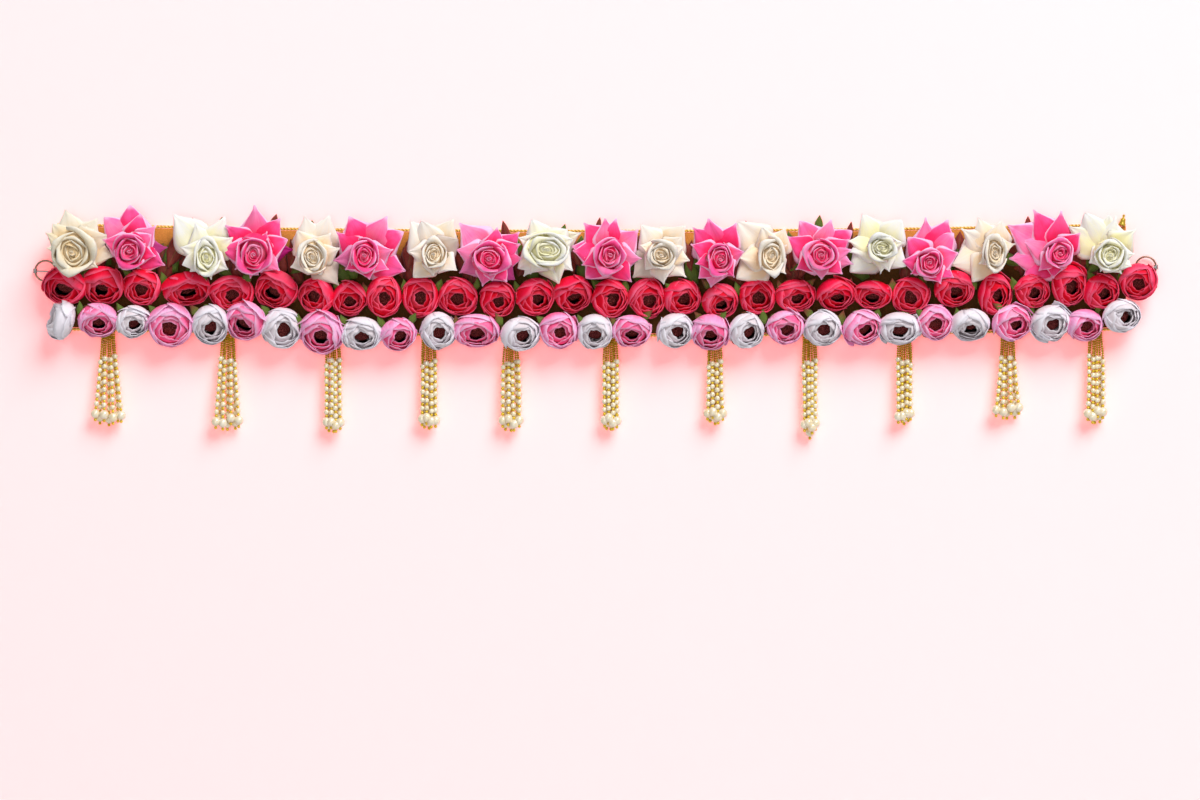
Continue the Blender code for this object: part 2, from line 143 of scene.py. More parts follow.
# Buds: middle (x, z), width and height, then where the mouth lies from the middle (across, up).
MIDDLE_BUDS = (
    (-476, -4.5, 39, 36, -4, -7), (-442, -3.5, 38, 37, -2, -9), (-407, -6, 34, 33, -1, -5),
    (-368, -7, 43, 32, 4, -11), (-327, -11, 40, 32, 1, -5), (-286, -8, 39, 35, -6, -7),
    (-250, -13.5, 33, 33, -4, -3), (-221, -16, 31, 32, 2, -6), (-190, -14.5, 32, 38, 1, -2),
    (-157, -14.5, 33, 37, 0, -3), (-123, -14.5, 35, 33, -1, -4), (-88, -17, 32, 34, 2, -5),
    (-54, -14.5, 35, 34, 4.5, -5), (-20, -12, 34, 34, 3, -8), (13.5, -16, 34, 35, 4.5, -4),
    (47, -16, 33, 36, 3, -4), (78, -15, 35, 32, 2, -5), (112, -18, 33, 32, 4, -8),
    (146, -13.5, 33, 35, 2, -4.5), (180, -13.5, 36, 30, 3, -6), (217, -12, 35, 31, 2, -8),
    (250, -12.5, 35, 27, -1, -8), (284, -13.5, 34, 33, -1, -4), (323, -7, 36, 34, 1, -7),
    (359, -12, 31, 37, 5, -4.5), (393, -9, 32, 31, 4, -5), (426, -4.5, 33, 37, 4.5, -4),
    (455, -10, 33, 32, 4, -4.5), (489, -1, 34, 33, -1, -4.5),
)
BOTTOM_BUDS = (
    (-478, -37, 36, 34, -60, 14), (-447, -35, 36, 32, 1, -8), (-416, -37, 32, 29, 4.5, -7),
    (-382, -40.5, 40, 39, 0, -4.5), (-346, -39, 33, 36, 1, -6), (-314, -36, 36, 36, -4, -8),
    (-282, -43, 36, 37, 3, -4), (-246, -46, 38, 40, -1, -8), (-210, -48, 37, 31, 1, -6),
    (-177, -48, 32, 31, 3, -7), (-141, -45, 32, 34, 2, -4), (-107, -45, 41, 31, 0, -7),
    (-67.5, -48, 36, 31, 4, -4.5), (-33, -45, 35, 33, 2, -4), (0, -46, 32, 33, 0, -6),
    (33, -45, 35, 30, 0, -8), (72, -45, 33, 32, 4, -4.5), (103.5, -46, 34, 34, 0, -8),
    (136, -45, 32, 33, 4, -5), (171, -42, 34, 31, 2, -5), (205, -43, 34, 32, 1, -5),
    (240, -42, 36, 32, 5, -5), (274, -43, 38, 30, 0, -6), (306, -38, 32, 32, 1, -4),
    (337.5, -39, 36, 32, 0, -11), (375, -38, 36, 33, 5, -4.5), (410, -38, 36, 33, 3, -4.5),
    (440, -40, 33, 29, 3, -5), (473, -32, 35, 30, 6, -3),
)
# Loose petals that stand off a bud: bud number, direction round the mouth in degrees from the right,
# half the petal's spread, how far its lip is from the mouth, and how far it flares.
MIDDLE_LOOSE = (
    (1, 150, 50, 60, 0.1), (4, 125, 46, 46, 0.16), (4, 55, 42, 44, 0.14), (6, 60, 50, 44, 0.2),
    (12, 50, 40, 60, 0.15), (14, 110, 50, 48, 0.15), (14, 50, 40, 55, 0.15), (16, 140, 50, 50, 0.1),
    (21, 60, 40, 66, 0.2), (25, 45, 44, 62, 0.15), (27, 50, 42, 66, 0.2),
)
BOTTOM_LOOSE = (
    (1, 40, 40, 62, 0.16), (1, -30, 44, 80, 0.16), (1, 10, 36, 104, 0.14),
    (3, 60, 46, 55, 0.1), (4, 140, 50, 46, 0.18), (4, 50, 46, 48, 0.16), (6, 45, 46, 56, 0.22),
    (8, 130, 40, 60, 0.2), (8, 60, 40, 60, 0.2), (8, 0, 46, 62, 0.12), (12, 10, 46, 52, 0.12),
    (14, 5, 40, 60, 0.12), (17, 175, 40, 60, 0.15), (18, 0, 46, 56, 0.15), (20, 50, 40, 62, 0.15),
    (22, 215, 40, 72, 0.15), (23, 200, 40, 62, 0.12), (23, 10, 40, 60, 0.12), (26, 45, 44, 55, 0.22),
    (26, 175, 42, 60, 0.15), (27, 225, 44, 75, 0.15), (27, 45, 40, 66, 0.18),
)
# Leaf tips that show past the roses: tip (x, z), lean of the leaf to the right in degrees, length,
# half width, and tone from green (0) to brown (1).
LEAF_TIPS = (
    (-362.7, 56.0, -14, 24, 4.5, 0.95), (-287.0, 59.5, 18, 26, 4.5, 0.9), (-336.0, 57.0, 4, 24, 3.5, 0.1),
    (-83.0, 53.5, -10, 22, 5.0, 0.85), (4.5, 56.5, 6, 24, 4.0, 0.85), (231.0, 52.5, 12, 22, 4.5, 0.9),
    (390.0, 57.5, -4, 24, 4.0, 0.95), (-27.0, 50.5, 22, 20, 4.5, 0.15), (202.5, 58.5, 2, 26, 5.0, 0.45),
    (174.0, 44.0, -20, 20, 4.5, 0.2), (-255.0, 54.0, -8, 20, 3.0, 0.3), (136.0, 53.5, -6, 20, 3.0, 0.5),
    (-376.0, 44.0, 8, 30, 7.0, 0.9), (-273.0, 30.0, 30, 26, 6.0, 0.75), (-384.0, 12.0, 160, 22, 6.0, 0.8),
    (-165.0, 40.0, 10, 26, 5.0, 0.7), (329.0, 44.0, 4, 30, 6.5, 0.8), (326.0, 8.0, 170, 24, 6.0, 0.35),
    (480.0, 30.0, 40, 26, 5.0, 0.8), (-58.0, 8.0, 190, 22, 5.0, 0.3),
)
# Strands of a tassel: column at the head, column at the end, row at the head and at the end (0 in
# front, 1 behind), and how much higher the strand ends than the longest one.
STRANDS = (
    (-1.0, -1.0, 0, 0.1, 2.6), (-0.33, -0.4, 0, 0, 0.6), (0.33, 0.27, 0, 0.1, 4.2), (1.0, 0.93, 0, 0.35, 3.4),
    (-0.67, -0.72, 1, 0.9, 4.6), (0.0, -0.05, 1, 1, 0.0), (0.67, 0.62, 1, 1, 1.4),
)
LONG_STRAND_TASSEL = 8
LONG_STRAND_EXTRA = 5.0
HEAD_BELOW_PIVOT = 3.0
HEAD_HEIGHT = 2.0
HEAD_HALF_WIDTH = 5.4
# How far the front and back rows of strands stand from the wall: at the head, where the seeds end,
# and at the last beads.
HEAD_ROWS = (6.4, 5.6)
SEEDS_ROWS = (7.0, 4.0)
END_ROWS = (11.0, 4.4)
SEEDS_LENGTH = 13.0
# How much wider the strands stand where their seeds end than at the head.
SEEDS_SPREAD = 1.18
SEED_RADIUS = 1.25
SPACER_RADIUS = 1.65
PEARL_RADIUS = 2.5
END_PEARL_RADIUS = 4.3
TIP_BEAD_RADIUS = 1.5
# How far above a tassel's head its front seeds start.
SEEDS_RISE = 6.0
BEAD_PITCH = 7.1
SEED_LENGTH = 2.05
# How much longer the seeds run on one strand than on the next, so that their pearls lie between.
STAGGER = (0.0, 3.4, 1.0, 4.2)
# How far a strand bows to either side, and the radius of its thread.
STRAND_BOW = 0.9
THREAD_RADIUS = 0.3
# How much longer a spacer is than the gap between its pearls, and how far the last bead reaches
# into the end pearl.
BEAD_OVERLAP = 0.5
TIP_OVERLAP = 0.4

# The wound head of a tassel: turns of its coil, the coil's half depth and half height, how far it
# lies in front of the joint, and the radius of its thread.
HEAD_TURNS = 12
STEPS_A_TURN = 8
HEAD_COIL = (1.7, 0.9)
HEAD_COIL_FORWARD = 1.0
HEAD_WIRE = 0.5
# The loops that carry it: their depths from the joint, then their half width and rise.
LOOPS = (-0.8, 0.0, 0.8)
LOOP_SIZE = (0.8, 0.7)
LOOP_STEPS = 8

# The band and its gold cords, as in the frame: how far the middle hangs lower than the ends.
SAG = 6.0
EDGING_DEPTH = 1.7
EDGING_RADIUS = 1.4
PLY_RADIUS = 0.78
TWIST_PITCH = 6.5
TWIST_STEPS = 7
# The bottom cord lies this far below the band's edge.
EDGING_GAP = 0.3
# Stitches along the band's edges: their pitch, how far in they lie, and each one's share of the
# pitch.
EDGE_STITCH_PITCH = 9.0
EDGE_STITCH_INSET = 4.5
EDGE_STITCH_LENGTH = 0.55
# Half width and half height of a cross stitch, the radius of the sewing thread, and how deep its
# ends go into the felt.
CROSS_STITCH = (3.6, 3.0)
STITCH_THREAD = 0.42
STITCH_DEPTH = 0.35
# A flower is fixed to the band at least this far from its ends, and a bottom bud this far above
# its own middle.
FIXING_INSET = 5.0
BOTTOM_FIXING_UP = 6.0

# Wire and metal: the rings, their crimps and ties, and the cap. A profile is (radius, height).
RING_RADIUS = 9.2
RING_WIRE = 0.85
RING_STEPS = 72
TIE_WIRE = 0.6
CRIMP_PROFILE = (
    (1.0, -2.0), (1.7, -2.0), (1.95, -1.6), (1.75, -1.0), (1.75, 1.0), (1.95, 1.6), (1.7, 2.0), (1.0, 2.0),
)
CRIMP_STEPS = 20
CAP_PROFILE = (
    (2.6, 0.5), (3.2, 0.0), (3.4, 0.6), (3.3, 1.4), (2.8, 2.6), (2.45, 4.2), (2.4, 5.6), (2.1, 6.4),
    (1.1, 7.1), (0.8, 7.8), (1.0, 8.6), (1.25, 9.3), (1.0, 10.0), (0.4, 10.35),
)
CAP_STEPS = 24
# The cap leans outwards by so many radians, and its foot stands left of the middle of its node.
CAP_LEAN = 0.2
CAP_LEFT = 1.0

# Depths from the wall, as distances into the room.
BAND_FRONT = 2.5
BUD_MIDDLE = 17.0
BUD_HALF_DEPTH = 14.5
BUD_MOUTH_REACH = 13.0
BUD_BACK = 9.9
ROSE_MIDDLE = 32.5
ROSE_HALF_DEPTH = 17.0
ROSE_MOUTH_REACH = 30.0

# Petal layers of a bud on a globe of radius 1, from the outside in: radius, how far the layer is
# moved towards the mouth, angle from the mouth to the lip and how much it varies, number of petals,
# half spread, flare.
BUD_LAYERS = (
    (1.00, 0.00, 56, 12, 3, 74, 0.055),
    (0.97, 0.00, 45, 9, 4, 62, 0.06),
    (0.93, 0.00, 38, 7, 4, 58, 0.05),
    (0.82, 0.00, 31, 6, 4, 56, 0.045),
    (0.66, 0.00, 26, 5, 3, 72, 0.035),
)
# The same for a rose's bloom, with the radius of the roll of its lip in place of a flare.
BLOOM_LAYERS = (
    (0.94, 0.00, 55, 6, 3, 76, 0.165),
    (0.77, 0.08, 50, 6, 3, 76, 0.135),
    (0.58, 0.20, 45, 5, 3, 78, 0.08),
    (0.44, 0.30, 40, 5, 3, 76, 0.055),
    (0.31, 0.38, 40, 4, 2, 96, 0.035),
)
# A loose petal's radius, the angle from the mouth to its foot, and how far its corners tuck in.
LOOSE_RADIUS = 1.05
LOOSE_FOOT = 150.0
LOOSE_TUCK = 20.0
# How uneven the edges are: of a bud's petals, of its loose petals and of its sepals.
BUD_RAGGED = 0.045
LOOSE_RAGGED = 0.03
SEPAL_RAGGED = 0.012
# The angle from the mouth to the foot of a bud's outer petals, and to that of a sepal.
BUD_FOOT = 170.0
SEPAL_FOOT = 176.0
SEPAL_TUCK = 60.0
# How far the corners of a bud's petals tuck in, outermost and innermost.
BUD_TUCK = (40.0, 9.0)
# Petals are outside ones below this depth, which runs from 0 outermost to 1 innermost.
OUTSIDE = 0.4
# The power at which a lip falls back towards its corners, and how far a ragged lip wanders.
LIP_POWER = 2.4
RAGGED_DEGREES = 60.0
# The share of a petal's length at which its edge starts to ripple, and how far it ripples.
RIPPLE_START = 0.45
RIPPLE_SHARE = 0.55
# The share at which its lip starts to flare, and how far the flare lowers it.
FLARE_START = 0.66
FLARE_DROP = 0.45
# How far the foot of an inner bloom petal spreads towards the layer outside it.
SKIRT = 0.12
# The share of a bloom petal's length at which its lip starts to roll.
ROLL_START = 0.5
# How deep the back half of a bud is, next to its front half.
BACK_SHARE = 0.5
# How high the leaves behind the roses reach.
LEAF_LIMIT = 40.0
# Buds that share one node of the frame.
BUDS_A_GROUP = 3
# A sepal, as a layer for globe_petal, and how many a calyx has.
SEPAL_LAYER = (1.0, 0.0, 100, 22, 0.05)
SEPALS = 5
# The dark dome that closes a mouth: where it lies in a bud's globe, how flat it is, and its radius.
MOUTH_FLOOR = Matrix.Translation((0.0, 0.0, -0.18)) @ Matrix.Diagonal((1.0, 1.0, 0.55, 1.0))
MOUTH_DOME = 0.54
# The knobs of a tuft: how far they spread in a bud's globe, and their radii in millimetres.
STAMENS_A_BUD = 22
STAMEN_SPREAD = 0.25
STAMEN_SIZE = (0.5, 0.9)
GOLDEN_ANGLE = 2.4

# A rose's pointed petals change from its near tips to its far ones, by distance from the middle of
# the bloom: depth of foot and of tip from the wall, half width, and bulge. Their feet lie FOOT_REACH
# from that middle.
NEAR_TIP, FAR_TIP = 18.0, 42.0
FOOT_REACH = 3.0
FOOT_DEPTH = (22.0, 13.0)
TIP_DEPTH = (33.5, 22.0)
TIP_HALF_WIDTH = (13.0, 21.0)
TIP_BULGE = (7.0, 10.0)
# Any of these for pointed_petal's sharp.
TIP_SHARPNESS = (1.45, 1.35, 1.25, 1.15, 0.85)
# Petals of a tone above this get painted shade, being turned into the shade.
SHADE_TONE = 0.72

# The rolled heart of a rose: radius, where it starts, and turns; then the dome below it.
HEART = (0.15, 0.4, 1.2)
HEART_FLOOR = (0.3, 0.31)

# Leaves behind a rose: how many, and how far out their tips lie.
LEAVES_A_ROSE = 4
ROSE_LEAF_REACH = (24, 30)
# Heights of the leaves between two roses, and the height at and below which they hang.
LEAVES_BETWEEN_ROSES = (-20.0, -13.0, 0.0, 8.0, 15.0)
LEAVES_HANG_BELOW = -5.0
# A stub's radii at the band and at the flower, and how far it goes into the flower.
STUB_RADII = (3.4, 2.2)
STUB_OVERLAP = 3.0
# Half the width of a rose's calyx, and how much further a sepal reaches on a bud that is turned
# away.
ROSE_CALYX = 12.0
TURNED_CALYX = 45.0


# ---------------------------------------------------------------- shapes


def smooth_step(low, high, x):
    """0 below low, 1 above high, and a smooth rise between them."""
    share = max(0.0, min(1.0, (x - low) / (high - low)))
    return share * share * (3.0 - 2.0 * share)


def between(low, high, share):
    return low + (high - low) * share


TO_ROOM = Matrix.Rotation(math.radians(90), 4, "X")


def flower_frame(x, depth, z, half_width, half_depth, half_height, tilt):
    """From a globe of radius 1 to its place on the hanging, with its mouth turned by tilt."""
    size = Matrix.Diagonal((half_width, half_depth, half_height, 1.0))
    return Matrix.Translation((x, -depth, z)) @ size @ tilt @ TO_ROOM


def tilt_towards(across, up, reach):
    """The turn that takes a mouth facing the room to a point across and up from its middle."""
    straight = Vector((0.0, -1.0, 0.0))
    return straight.rotation_difference(Vector((across, -reach, up))).to_matrix().to_4x4()


class Flower:
    """A mesh of thin petals. Each point keeps its place on its petal, for the silk's colours."""

    def __init__(self, place=None, back=0.0):
        """back is how near the wall the petals may come."""
        self.bm = bmesh.new()
        self.back = back
        self.mark = self.bm.verts.layers.float_color.new(PETAL_MARK)
        self.place = place or Matrix.Identity(4)
        self.oval = 0.0

    def petal(self, point_at, columns, rows, inner=0.0, tone=0.5, facing=1.0):
        """A grid put in place by point_at(u, v): u from -1 to 1 across, v from 0 at its base to 1.

        facing is the share of its half width that faces the room.
        """
        grid = bmesh.ops.create_grid(self.bm, x_segments=columns, y_segments=rows, size=1.0)
        for vert in grid["verts"]:
            u, v = vert.co.x, (vert.co.y + 1.0) / 2.0
            seen = max(-1.0, min(1.0, u / facing))
            vert[self.mark] = ((seen + 1.0) / 2.0, v, inner, tone)
            vert.co = self.place @ point_at(u, v)
            vert.co.y = min(vert.co.y, -self.back)


def globe_petal(flower, layer, turn, rng, grid, inner, foot, tuck, ragged):
    """A petal that wraps a globe: layer holds its radius, lift, lip angle, half spread and flare.

    foot is the angle from the mouth to its foot, tuck how many degrees its corners lie behind the
    middle of its lip, and ragged how uneven its edge is.
    """
    radius, lift, lip, spread, flare = layer
    waves = [rng.uniform(0.0, math.tau) for _ in range(4)]
    slide = rng.uniform(0.02, 0.045)

    def point_at(u, v):
        wave = math.sin(3.1 * u + waves[0]) + 0.7 * math.sin(6.7 * u + waves[1])
        ripple = math.sin(4.3 * u + waves[2]) + 0.6 * math.sin(9.1 * u + waves[3])
        edge = smooth_step(RIPPLE_START, 1.0, v)
        lip_here = lip + tuck * abs(u) ** LIP_POWER + RAGGED_DEGREES * ragged * wave
        polar = math.radians(between(foot, lip_here, v))
        azimuth = turn + math.radians(spread) * u * between(0.75, 1.0, smooth_step(0.0, 0.5, v))
        r = radius * (1.0 + slide * u) + ragged * edge * ripple * RIPPLE_SHARE
        roll = flare * smooth_step(FLARE_START, 1.0, v) ** 1.4
        across = r * math.sin(polar) + roll
        height = lift + r * math.cos(polar) - FLARE_DROP * roll * smooth_step(0.8, 1.0, v)
        height *= BACK_SHARE if height < 0.0 else 1.0
        return Vector((across * math.cos(azimuth), across * math.sin(azimuth), height))

    flower.petal(point_at, grid[0], grid[1], inner, rng.uniform(0.35, 0.65))


def lipped_petal(flower, layer, turn, rng, inner):
    """A bloom's petal: it wraps a globe, and its lip rolls outwards into a crescent."""
    radius, lift, lip, spread, roll = layer
    waves = [rng.uniform(0.0, math.tau) for _ in range(3)]
    slide = rng.uniform(0.03, 0.06)
    curl = math.radians(rng.uniform(150.0, 205.0))

    def point_at(u, v):
        side = abs(u)
        azimuth = turn + math.radians(spread) * u * between(0.85, 1.0, smooth_step(0.0, 0.5, v))
        end = math.radians(lip + 20.0 * side ** 2.6 + 2.5 * math.sin(4.0 * u + waves[0]))
        r = radius * (1.0 + slide * u) + 0.012 * math.sin(6.0 * u + waves[1])
        polar = between(math.radians(150.0), end, min(1.0, v / ROLL_START))
        r *= 1.0 + 0.16 * inner * math.cos(2.0 * (azimuth - flower.oval))
        if inner:
            r += SKIRT * smooth_step(58.0, 82.0, math.degrees(polar))
        size = roll * (1.0 - 0.5 * side) * (1.0 + 0.18 * math.sin(5.0 * u + waves[2]))
        turned = curl * (1.0 - 0.35 * side) * max(0.0, (v - ROLL_START) / (1.0 - ROLL_START))
        if turned:
            across = (r + size) * math.sin(polar) - size * math.sin(polar + turned)
            height = (r + size) * math.cos(polar) - size * math.cos(polar + turned)
        else:
            across, height = r * math.sin(polar), r * math.cos(polar)
        return Vector((across * math.cos(azimuth), across * math.sin(azimuth), lift + height))

    flower.petal(point_at, 12, 10, inner, rng.uniform(0.35, 0.65))


def layered_globe(flower, layers, rng, add_petal):
    """Petals in layers from the outside in, each layer turned against the one before."""
    turn = rng.uniform(0.0, math.tau)
    last = len(layers) - 1
    for k, (radius, lift, lip, change, count, spread, flare) in enumerate(layers):
        turn += math.radians(58.0 + rng.uniform(-14.0, 14.0))
        for p in range(count):
            at = turn + math.tau * p / count + math.radians(rng.uniform(-16.0, 16.0))
            here = (
                radius * rng.uniform(0.98, 1.01), lift, lip + rng.uniform(-change, change),
                spread + rng.uniform(-5.0, 5.0), flare * rng.uniform(0.6, 1.4),
            )
            add_petal(flower, here, at, rng, k / last)


def bud_petal(flower, layer, turn, rng, inner):
    """A bud's petal: an inner one is short and has a coarser grid."""
    lip = layer[2]
    if inner < OUTSIDE:
        grid, foot = (12, 8), BUD_FOOT
    else:
        grid, foot = (9, 6), 0.5 * (BUD_FOOT + lip)
    globe_petal(flower, layer, turn, rng, grid, inner, foot, between(*BUD_TUCK, inner), BUD_RAGGED)


def scroll(flower, radius, low, high, turns, rng):
    """The tightly rolled heart of a rose."""
    start = rng.uniform(0.0, math.tau)

    def point_at(u, v):
        winding = (u + 1.0) / 2.0
        angle = start + turns * math.tau * winding
        r = radius * between(0.12, 1.0, winding) * between(0.8, 1.0, v) * (1.0 + 0.12 * math.cos(2.0 * angle))
        lip = high + 0.05 * (1.0 - winding) + 0.02 * math.sin(3.0 * angle)
        return Vector((r * math.cos(angle), r * math.sin(angle), between(low, lip, v)))

    flower.petal(point_at, 30, 3, 0.5, 0.6)


def heart_floor(flower, radius, lift):
    """A dome that closes the bottom of a bloom, below its heart."""

    def point_at(u, v):
        angle, polar = math.pi * u, math.radians(80.0) * (1.0 - v)
        across = radius * math.sin(polar)
        return Vector((across * math.cos(angle), across * math.sin(angle), lift + radius * math.cos(polar)))

    flower.petal(point_at, 12, 4, 0.5, 0.55)


def rolled_back(turned, share, steps=8):
    """How far across and back a margin comes that rolls back ever more, by turned radians in all."""
    across = back = 0.0
    for k in range(steps):
        angle = turned * (share * (k + 0.5) / steps) ** 2.6
        across += share / steps * math.cos(angle)
        back += share / steps * math.sin(angle)
    return across, back


def pointed_petal(flower, foot, tip, half_width, bulge, rng, grid=(14, 11), tone=0.5, apex=0.62, sharp=1.12):
    """A rose petal from foot to tip whose margins roll back, so that it ends in a point.

    foot and tip are (x, depth, z), with depth measured from the wall into the room. apex is the
    half width per length at the tip, and a sharp below 1 rounds the tip.
    """
    start, end = Vector(foot), Vector(tip)
    length = (end - start).length
    along = (end - start) / length
    side = along.cross(Vector((0.0, 1.0, 0.0))).normalized()
    front = side.cross(along).normalized()
    if front.y < 0.0:
        front = -front
    middle = start.lerp(end, 0.5) + front * bulge + side * rng.uniform(-2.5, 2.5)
    twist = rng.uniform(-0.2, 0.3)
    keel = rng.uniform(-0.25, 0.1)
    curl = math.radians(rng.uniform(105.0, 165.0))
    waves = [rng.uniform(0.0, math.tau) for _ in range(3)]

    def point_at(u, v):
        centre = (1 - v) ** 2 * start + 2 * v * (1 - v) * middle + v * v * end
        near_tip = min(1.0, (1.0 - v) * length * apex / half_width)
        width = half_width * max(0.03, math.sin(near_tip * math.pi / 2) ** sharp)
        width *= between(0.4, 1.0, smooth_step(0.0, 0.5, v))
        turned = between(0.3, curl, smooth_step(0.15, 0.8, v))
        across, back = rolled_back(turned, abs(u))
        back += keel * across * smooth_step(0.2, 0.7, v)
        across *= math.copysign(width, u)
        ripple = 0.8 * math.sin(3.0 * u + waves[0]) * smooth_step(0.2, 0.6, v) * (1.0 - v)
        ripple += 0.5 * math.sin(6.0 * v + waves[1]) * u + 0.25 * math.sin(8.0 * u + waves[2])
        place = centre + side * across + front * (twist * across - back * width + ripple)
        return Vector((place.x, -place.y, place.z))

    flower.petal(point_at, grid[0], grid[1], 0.0, tone, FACING)


def gather(whole, part):
    """Moves a small mesh into a large one, because shapes are slow to make in a large one."""
    mesh = bpy.data.meshes.new("part")
    part.to_mesh(mesh)
    part.free()
    whole.from_mesh(mesh)
    bpy.data.meshes.remove(mesh)


def show(name, data):
    """A new object in the scene."""
    thing = bpy.data.objects.new(name, data)
    bpy.context.scene.collection.objects.link(thing)
    return thing


def finished_mesh(name, bm, material):
    """A mesh in metres from one in millimetres."""
    bmesh.ops.scale(bm, verts=bm.verts, vec=(MM, MM, MM))
    mesh = bpy.data.meshes.new(name)
    bm.to_mesh(mesh)
    bm.free()
    mesh.materials.append(material)
    return mesh


def settle(piece, stands_for, body):
    """Gives a piece the nodes that it replaces and the body that it moves with."""
    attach(piece, body)
    if stands_for:
        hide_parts(*stands_for)


def add_piece(name, bm, material, stands_for=(), body=GARLAND, thickness=0.0):
    """A finished piece from a mesh in millimetres; cloth has a thickness."""
    mesh = finished_mesh(name, bm, material)
    mesh.shade_smooth()
    piece = show(name, mesh)
    if thickness:
        cloth = piece.modifiers.new("thickness", "SOLIDIFY")
        cloth.thickness = thickness * MM
        cloth.offset = 0.0
    settle(piece, stands_for, body)


# ---------------------------------------------------------------- materials


class Value:
    """One output of a node. Python's operators on it add Math nodes."""

    def __init__(self, tree, socket):
        self.tree = tree
        self.socket = socket

    def output(self, key):
        """Another output of the same node."""
        return Value(self.tree, self.socket.node.outputs[key])

    def maths(self, operation, first, second):
        return self.tree.node("ShaderNodeMath", {"operation": operation}, {0: first, 1: second})

    def __add__(self, other):
        return self.maths("ADD", self, other)

    __radd__ = __add__

    def __sub__(self, other):
        return self.maths("SUBTRACT", self, other)

    def __rsub__(self, other):
        return self.maths("SUBTRACT", other, self)

    def __mul__(self, other):
        return self.maths("MULTIPLY", self, other)

    __rmul__ = __mul__

    def __abs__(self):
        return self.maths("ABSOLUTE", self, 0.0)

    def above(self, other):
        return self.maths("MAXIMUM", self, other)

    def below(self, other):
        return self.maths("MINIMUM", self, other)


class Tree:
    """The nodes of a material or of the world."""

    def __init__(self, owner):
        owner.use_nodes = True
        self.nodes = owner.node_tree.nodes
        self.links = owner.node_tree.links

    def join(self, socket, value):
        if isinstance(value, Value):
            self.links.new(value.socket, socket)
        else:
            socket.default_value = value

    def node(self, kind, settings=None, inputs=None, output=0):
        """A node of a kind, with its settings made first and then its inputs; returns one output."""
        node = self.nodes.new(kind)
        for name, value in (settings or {}).items():
            setattr(node, name, value)
        for key, value in (inputs or {}).items():
            self.join(node.inputs[key], value)
        return Value(self, node.outputs[output])


class Look(Tree):
    """A material under construction."""

    def __init__(self, name, roughness=0.5, metallic=0.0, **fixed):
        self.material = bpy.data.materials.new(name)
        super().__init__(self.material)
        self.shader = self.nodes["Principled BSDF"]
        self.feed("Roughness", roughness)
        self.feed("Metallic", metallic)
        for socket, value in fixed.items():
            self.feed(socket.replace("_", " "), value)

    def feed(self, socket, value):
        self.join(self.shader.inputs[socket], value)

    def mix(self, share, first, second):
        """A colour between two colours."""
        colours = [c if isinstance(c, Value) else (*c, 1.0) for c in (first, second)]
        return self.node(
            "ShaderNodeMix", {"data_type": "RGBA", "clamp_factor": True},
            {0: share, 6: colours[0], 7: colours[1]}, output=2,
        )

    def step(self, value, low, high):
        """0 below low and 1 above high, smooth between."""
        return self.node(
            "ShaderNodeMapRange", {"interpolation_type": "SMOOTHSTEP"},
            {"Value": value, "From Min": low, "From Max": high},
        )

    def place(self):
        return self.node("ShaderNodeTexCoord", output="Object")

    def combine(self, x, y, z):
        return self.node("ShaderNodeCombineXYZ", inputs={0: x, 1: y, 2: z})

    def noise(self, where, scale, detail=2.0, roughness=0.5):
        return self.node(
            "ShaderNodeTexNoise",
            inputs={"Vector": where, "Scale": scale, "Detail": detail, "Roughness": roughness},
        )

    def bump(self, height, distance, strength=1.0):
        relief = self.node(
            "ShaderNodeBump", inputs={"Height": height, "Distance": distance * MM, "Strength": strength},
        )
        self.feed("Normal", relief)

    def marks(self):
        """A petal's own numbers: across, along, depth of its layer, and tone."""
        mark = self.node("ShaderNodeAttribute", {"attribute_name": PETAL_MARK}, output="Color")
        parts = self.node("ShaderNodeSeparateColor", inputs={0: mark})
        return parts, parts.output(1), parts.output(2), mark.output("Alpha")


# The edge colour is that of the painted highlight along the petals' edges, and of petals lighter at random.
def silk(name, face, fold_shade_and_vein_colour, edge, shade, veins=0.18, fold_shade_strength=0.6, edging=0.5, lift=0.4, inner_layer_shade=0.0):
    """Silk petals: face colour with painted shade in the folds and painted highlights at the edges, and fine
    veins.
    """
    look = Look(name, Specular_IOR_Level=0.08)
    across, along, inner, tone = look.marks()
    from_middle = abs(across * 2.0 - 1.0)
    where = look.place()
    streaks = look.noise(look.combine(across * 26.0, along * 2.4, tone * 60.0), 1.0, 2.0)
    patches = look.noise(where, 90.0, 2.0)
    unevenness = (patches - 0.5) * 0.9 + (0.5 - tone) * 0.9
    # Painted shade: the colour darkens towards each petal's foot and on inner layers, unevenly at random.
    painted_fold_shade = (1.0 - along) * (inner * inner_layer_shade + 1.25) + inner * 0.65 + unevenness
    colour = look.mix(look.step(painted_fold_shade, 0.1, 0.8) * fold_shade_strength, face, fold_shade_and_vein_colour)
    colour = look.mix(look.step(tone + (patches - 0.5) * 0.3, 0.48, 0.75) * lift, colour, edge)
    colour = look.mix((streaks - 0.42) * veins * 4.0, colour, fold_shade_and_vein_colour)
    # Painted highlight: a lighter rim along each petal's edges, fainter on inner layers.
    painted_rim_highlight = look.step(from_middle.above(along) + (patches - 0.5) * 0.12, 0.85, 1.02)
    colour = look.mix(painted_rim_highlight * (1.0 - inner * 0.55) * edging, colour, edge)
    # Painted shade on the petals that are turned into the shade.
    colour = look.mix(look.step(tone, SHADE_TONE, 1.0), colour, shade)
    look.feed("Base Color", colour)
    look.feed("Roughness", 0.6 + (streaks - 0.5) * 0.2)
    creases = look.noise(where, 320.0, 3.0)
    look.bump(streaks * 0.6 + creases * 0.8, 0.35, 0.6)
    return look.material


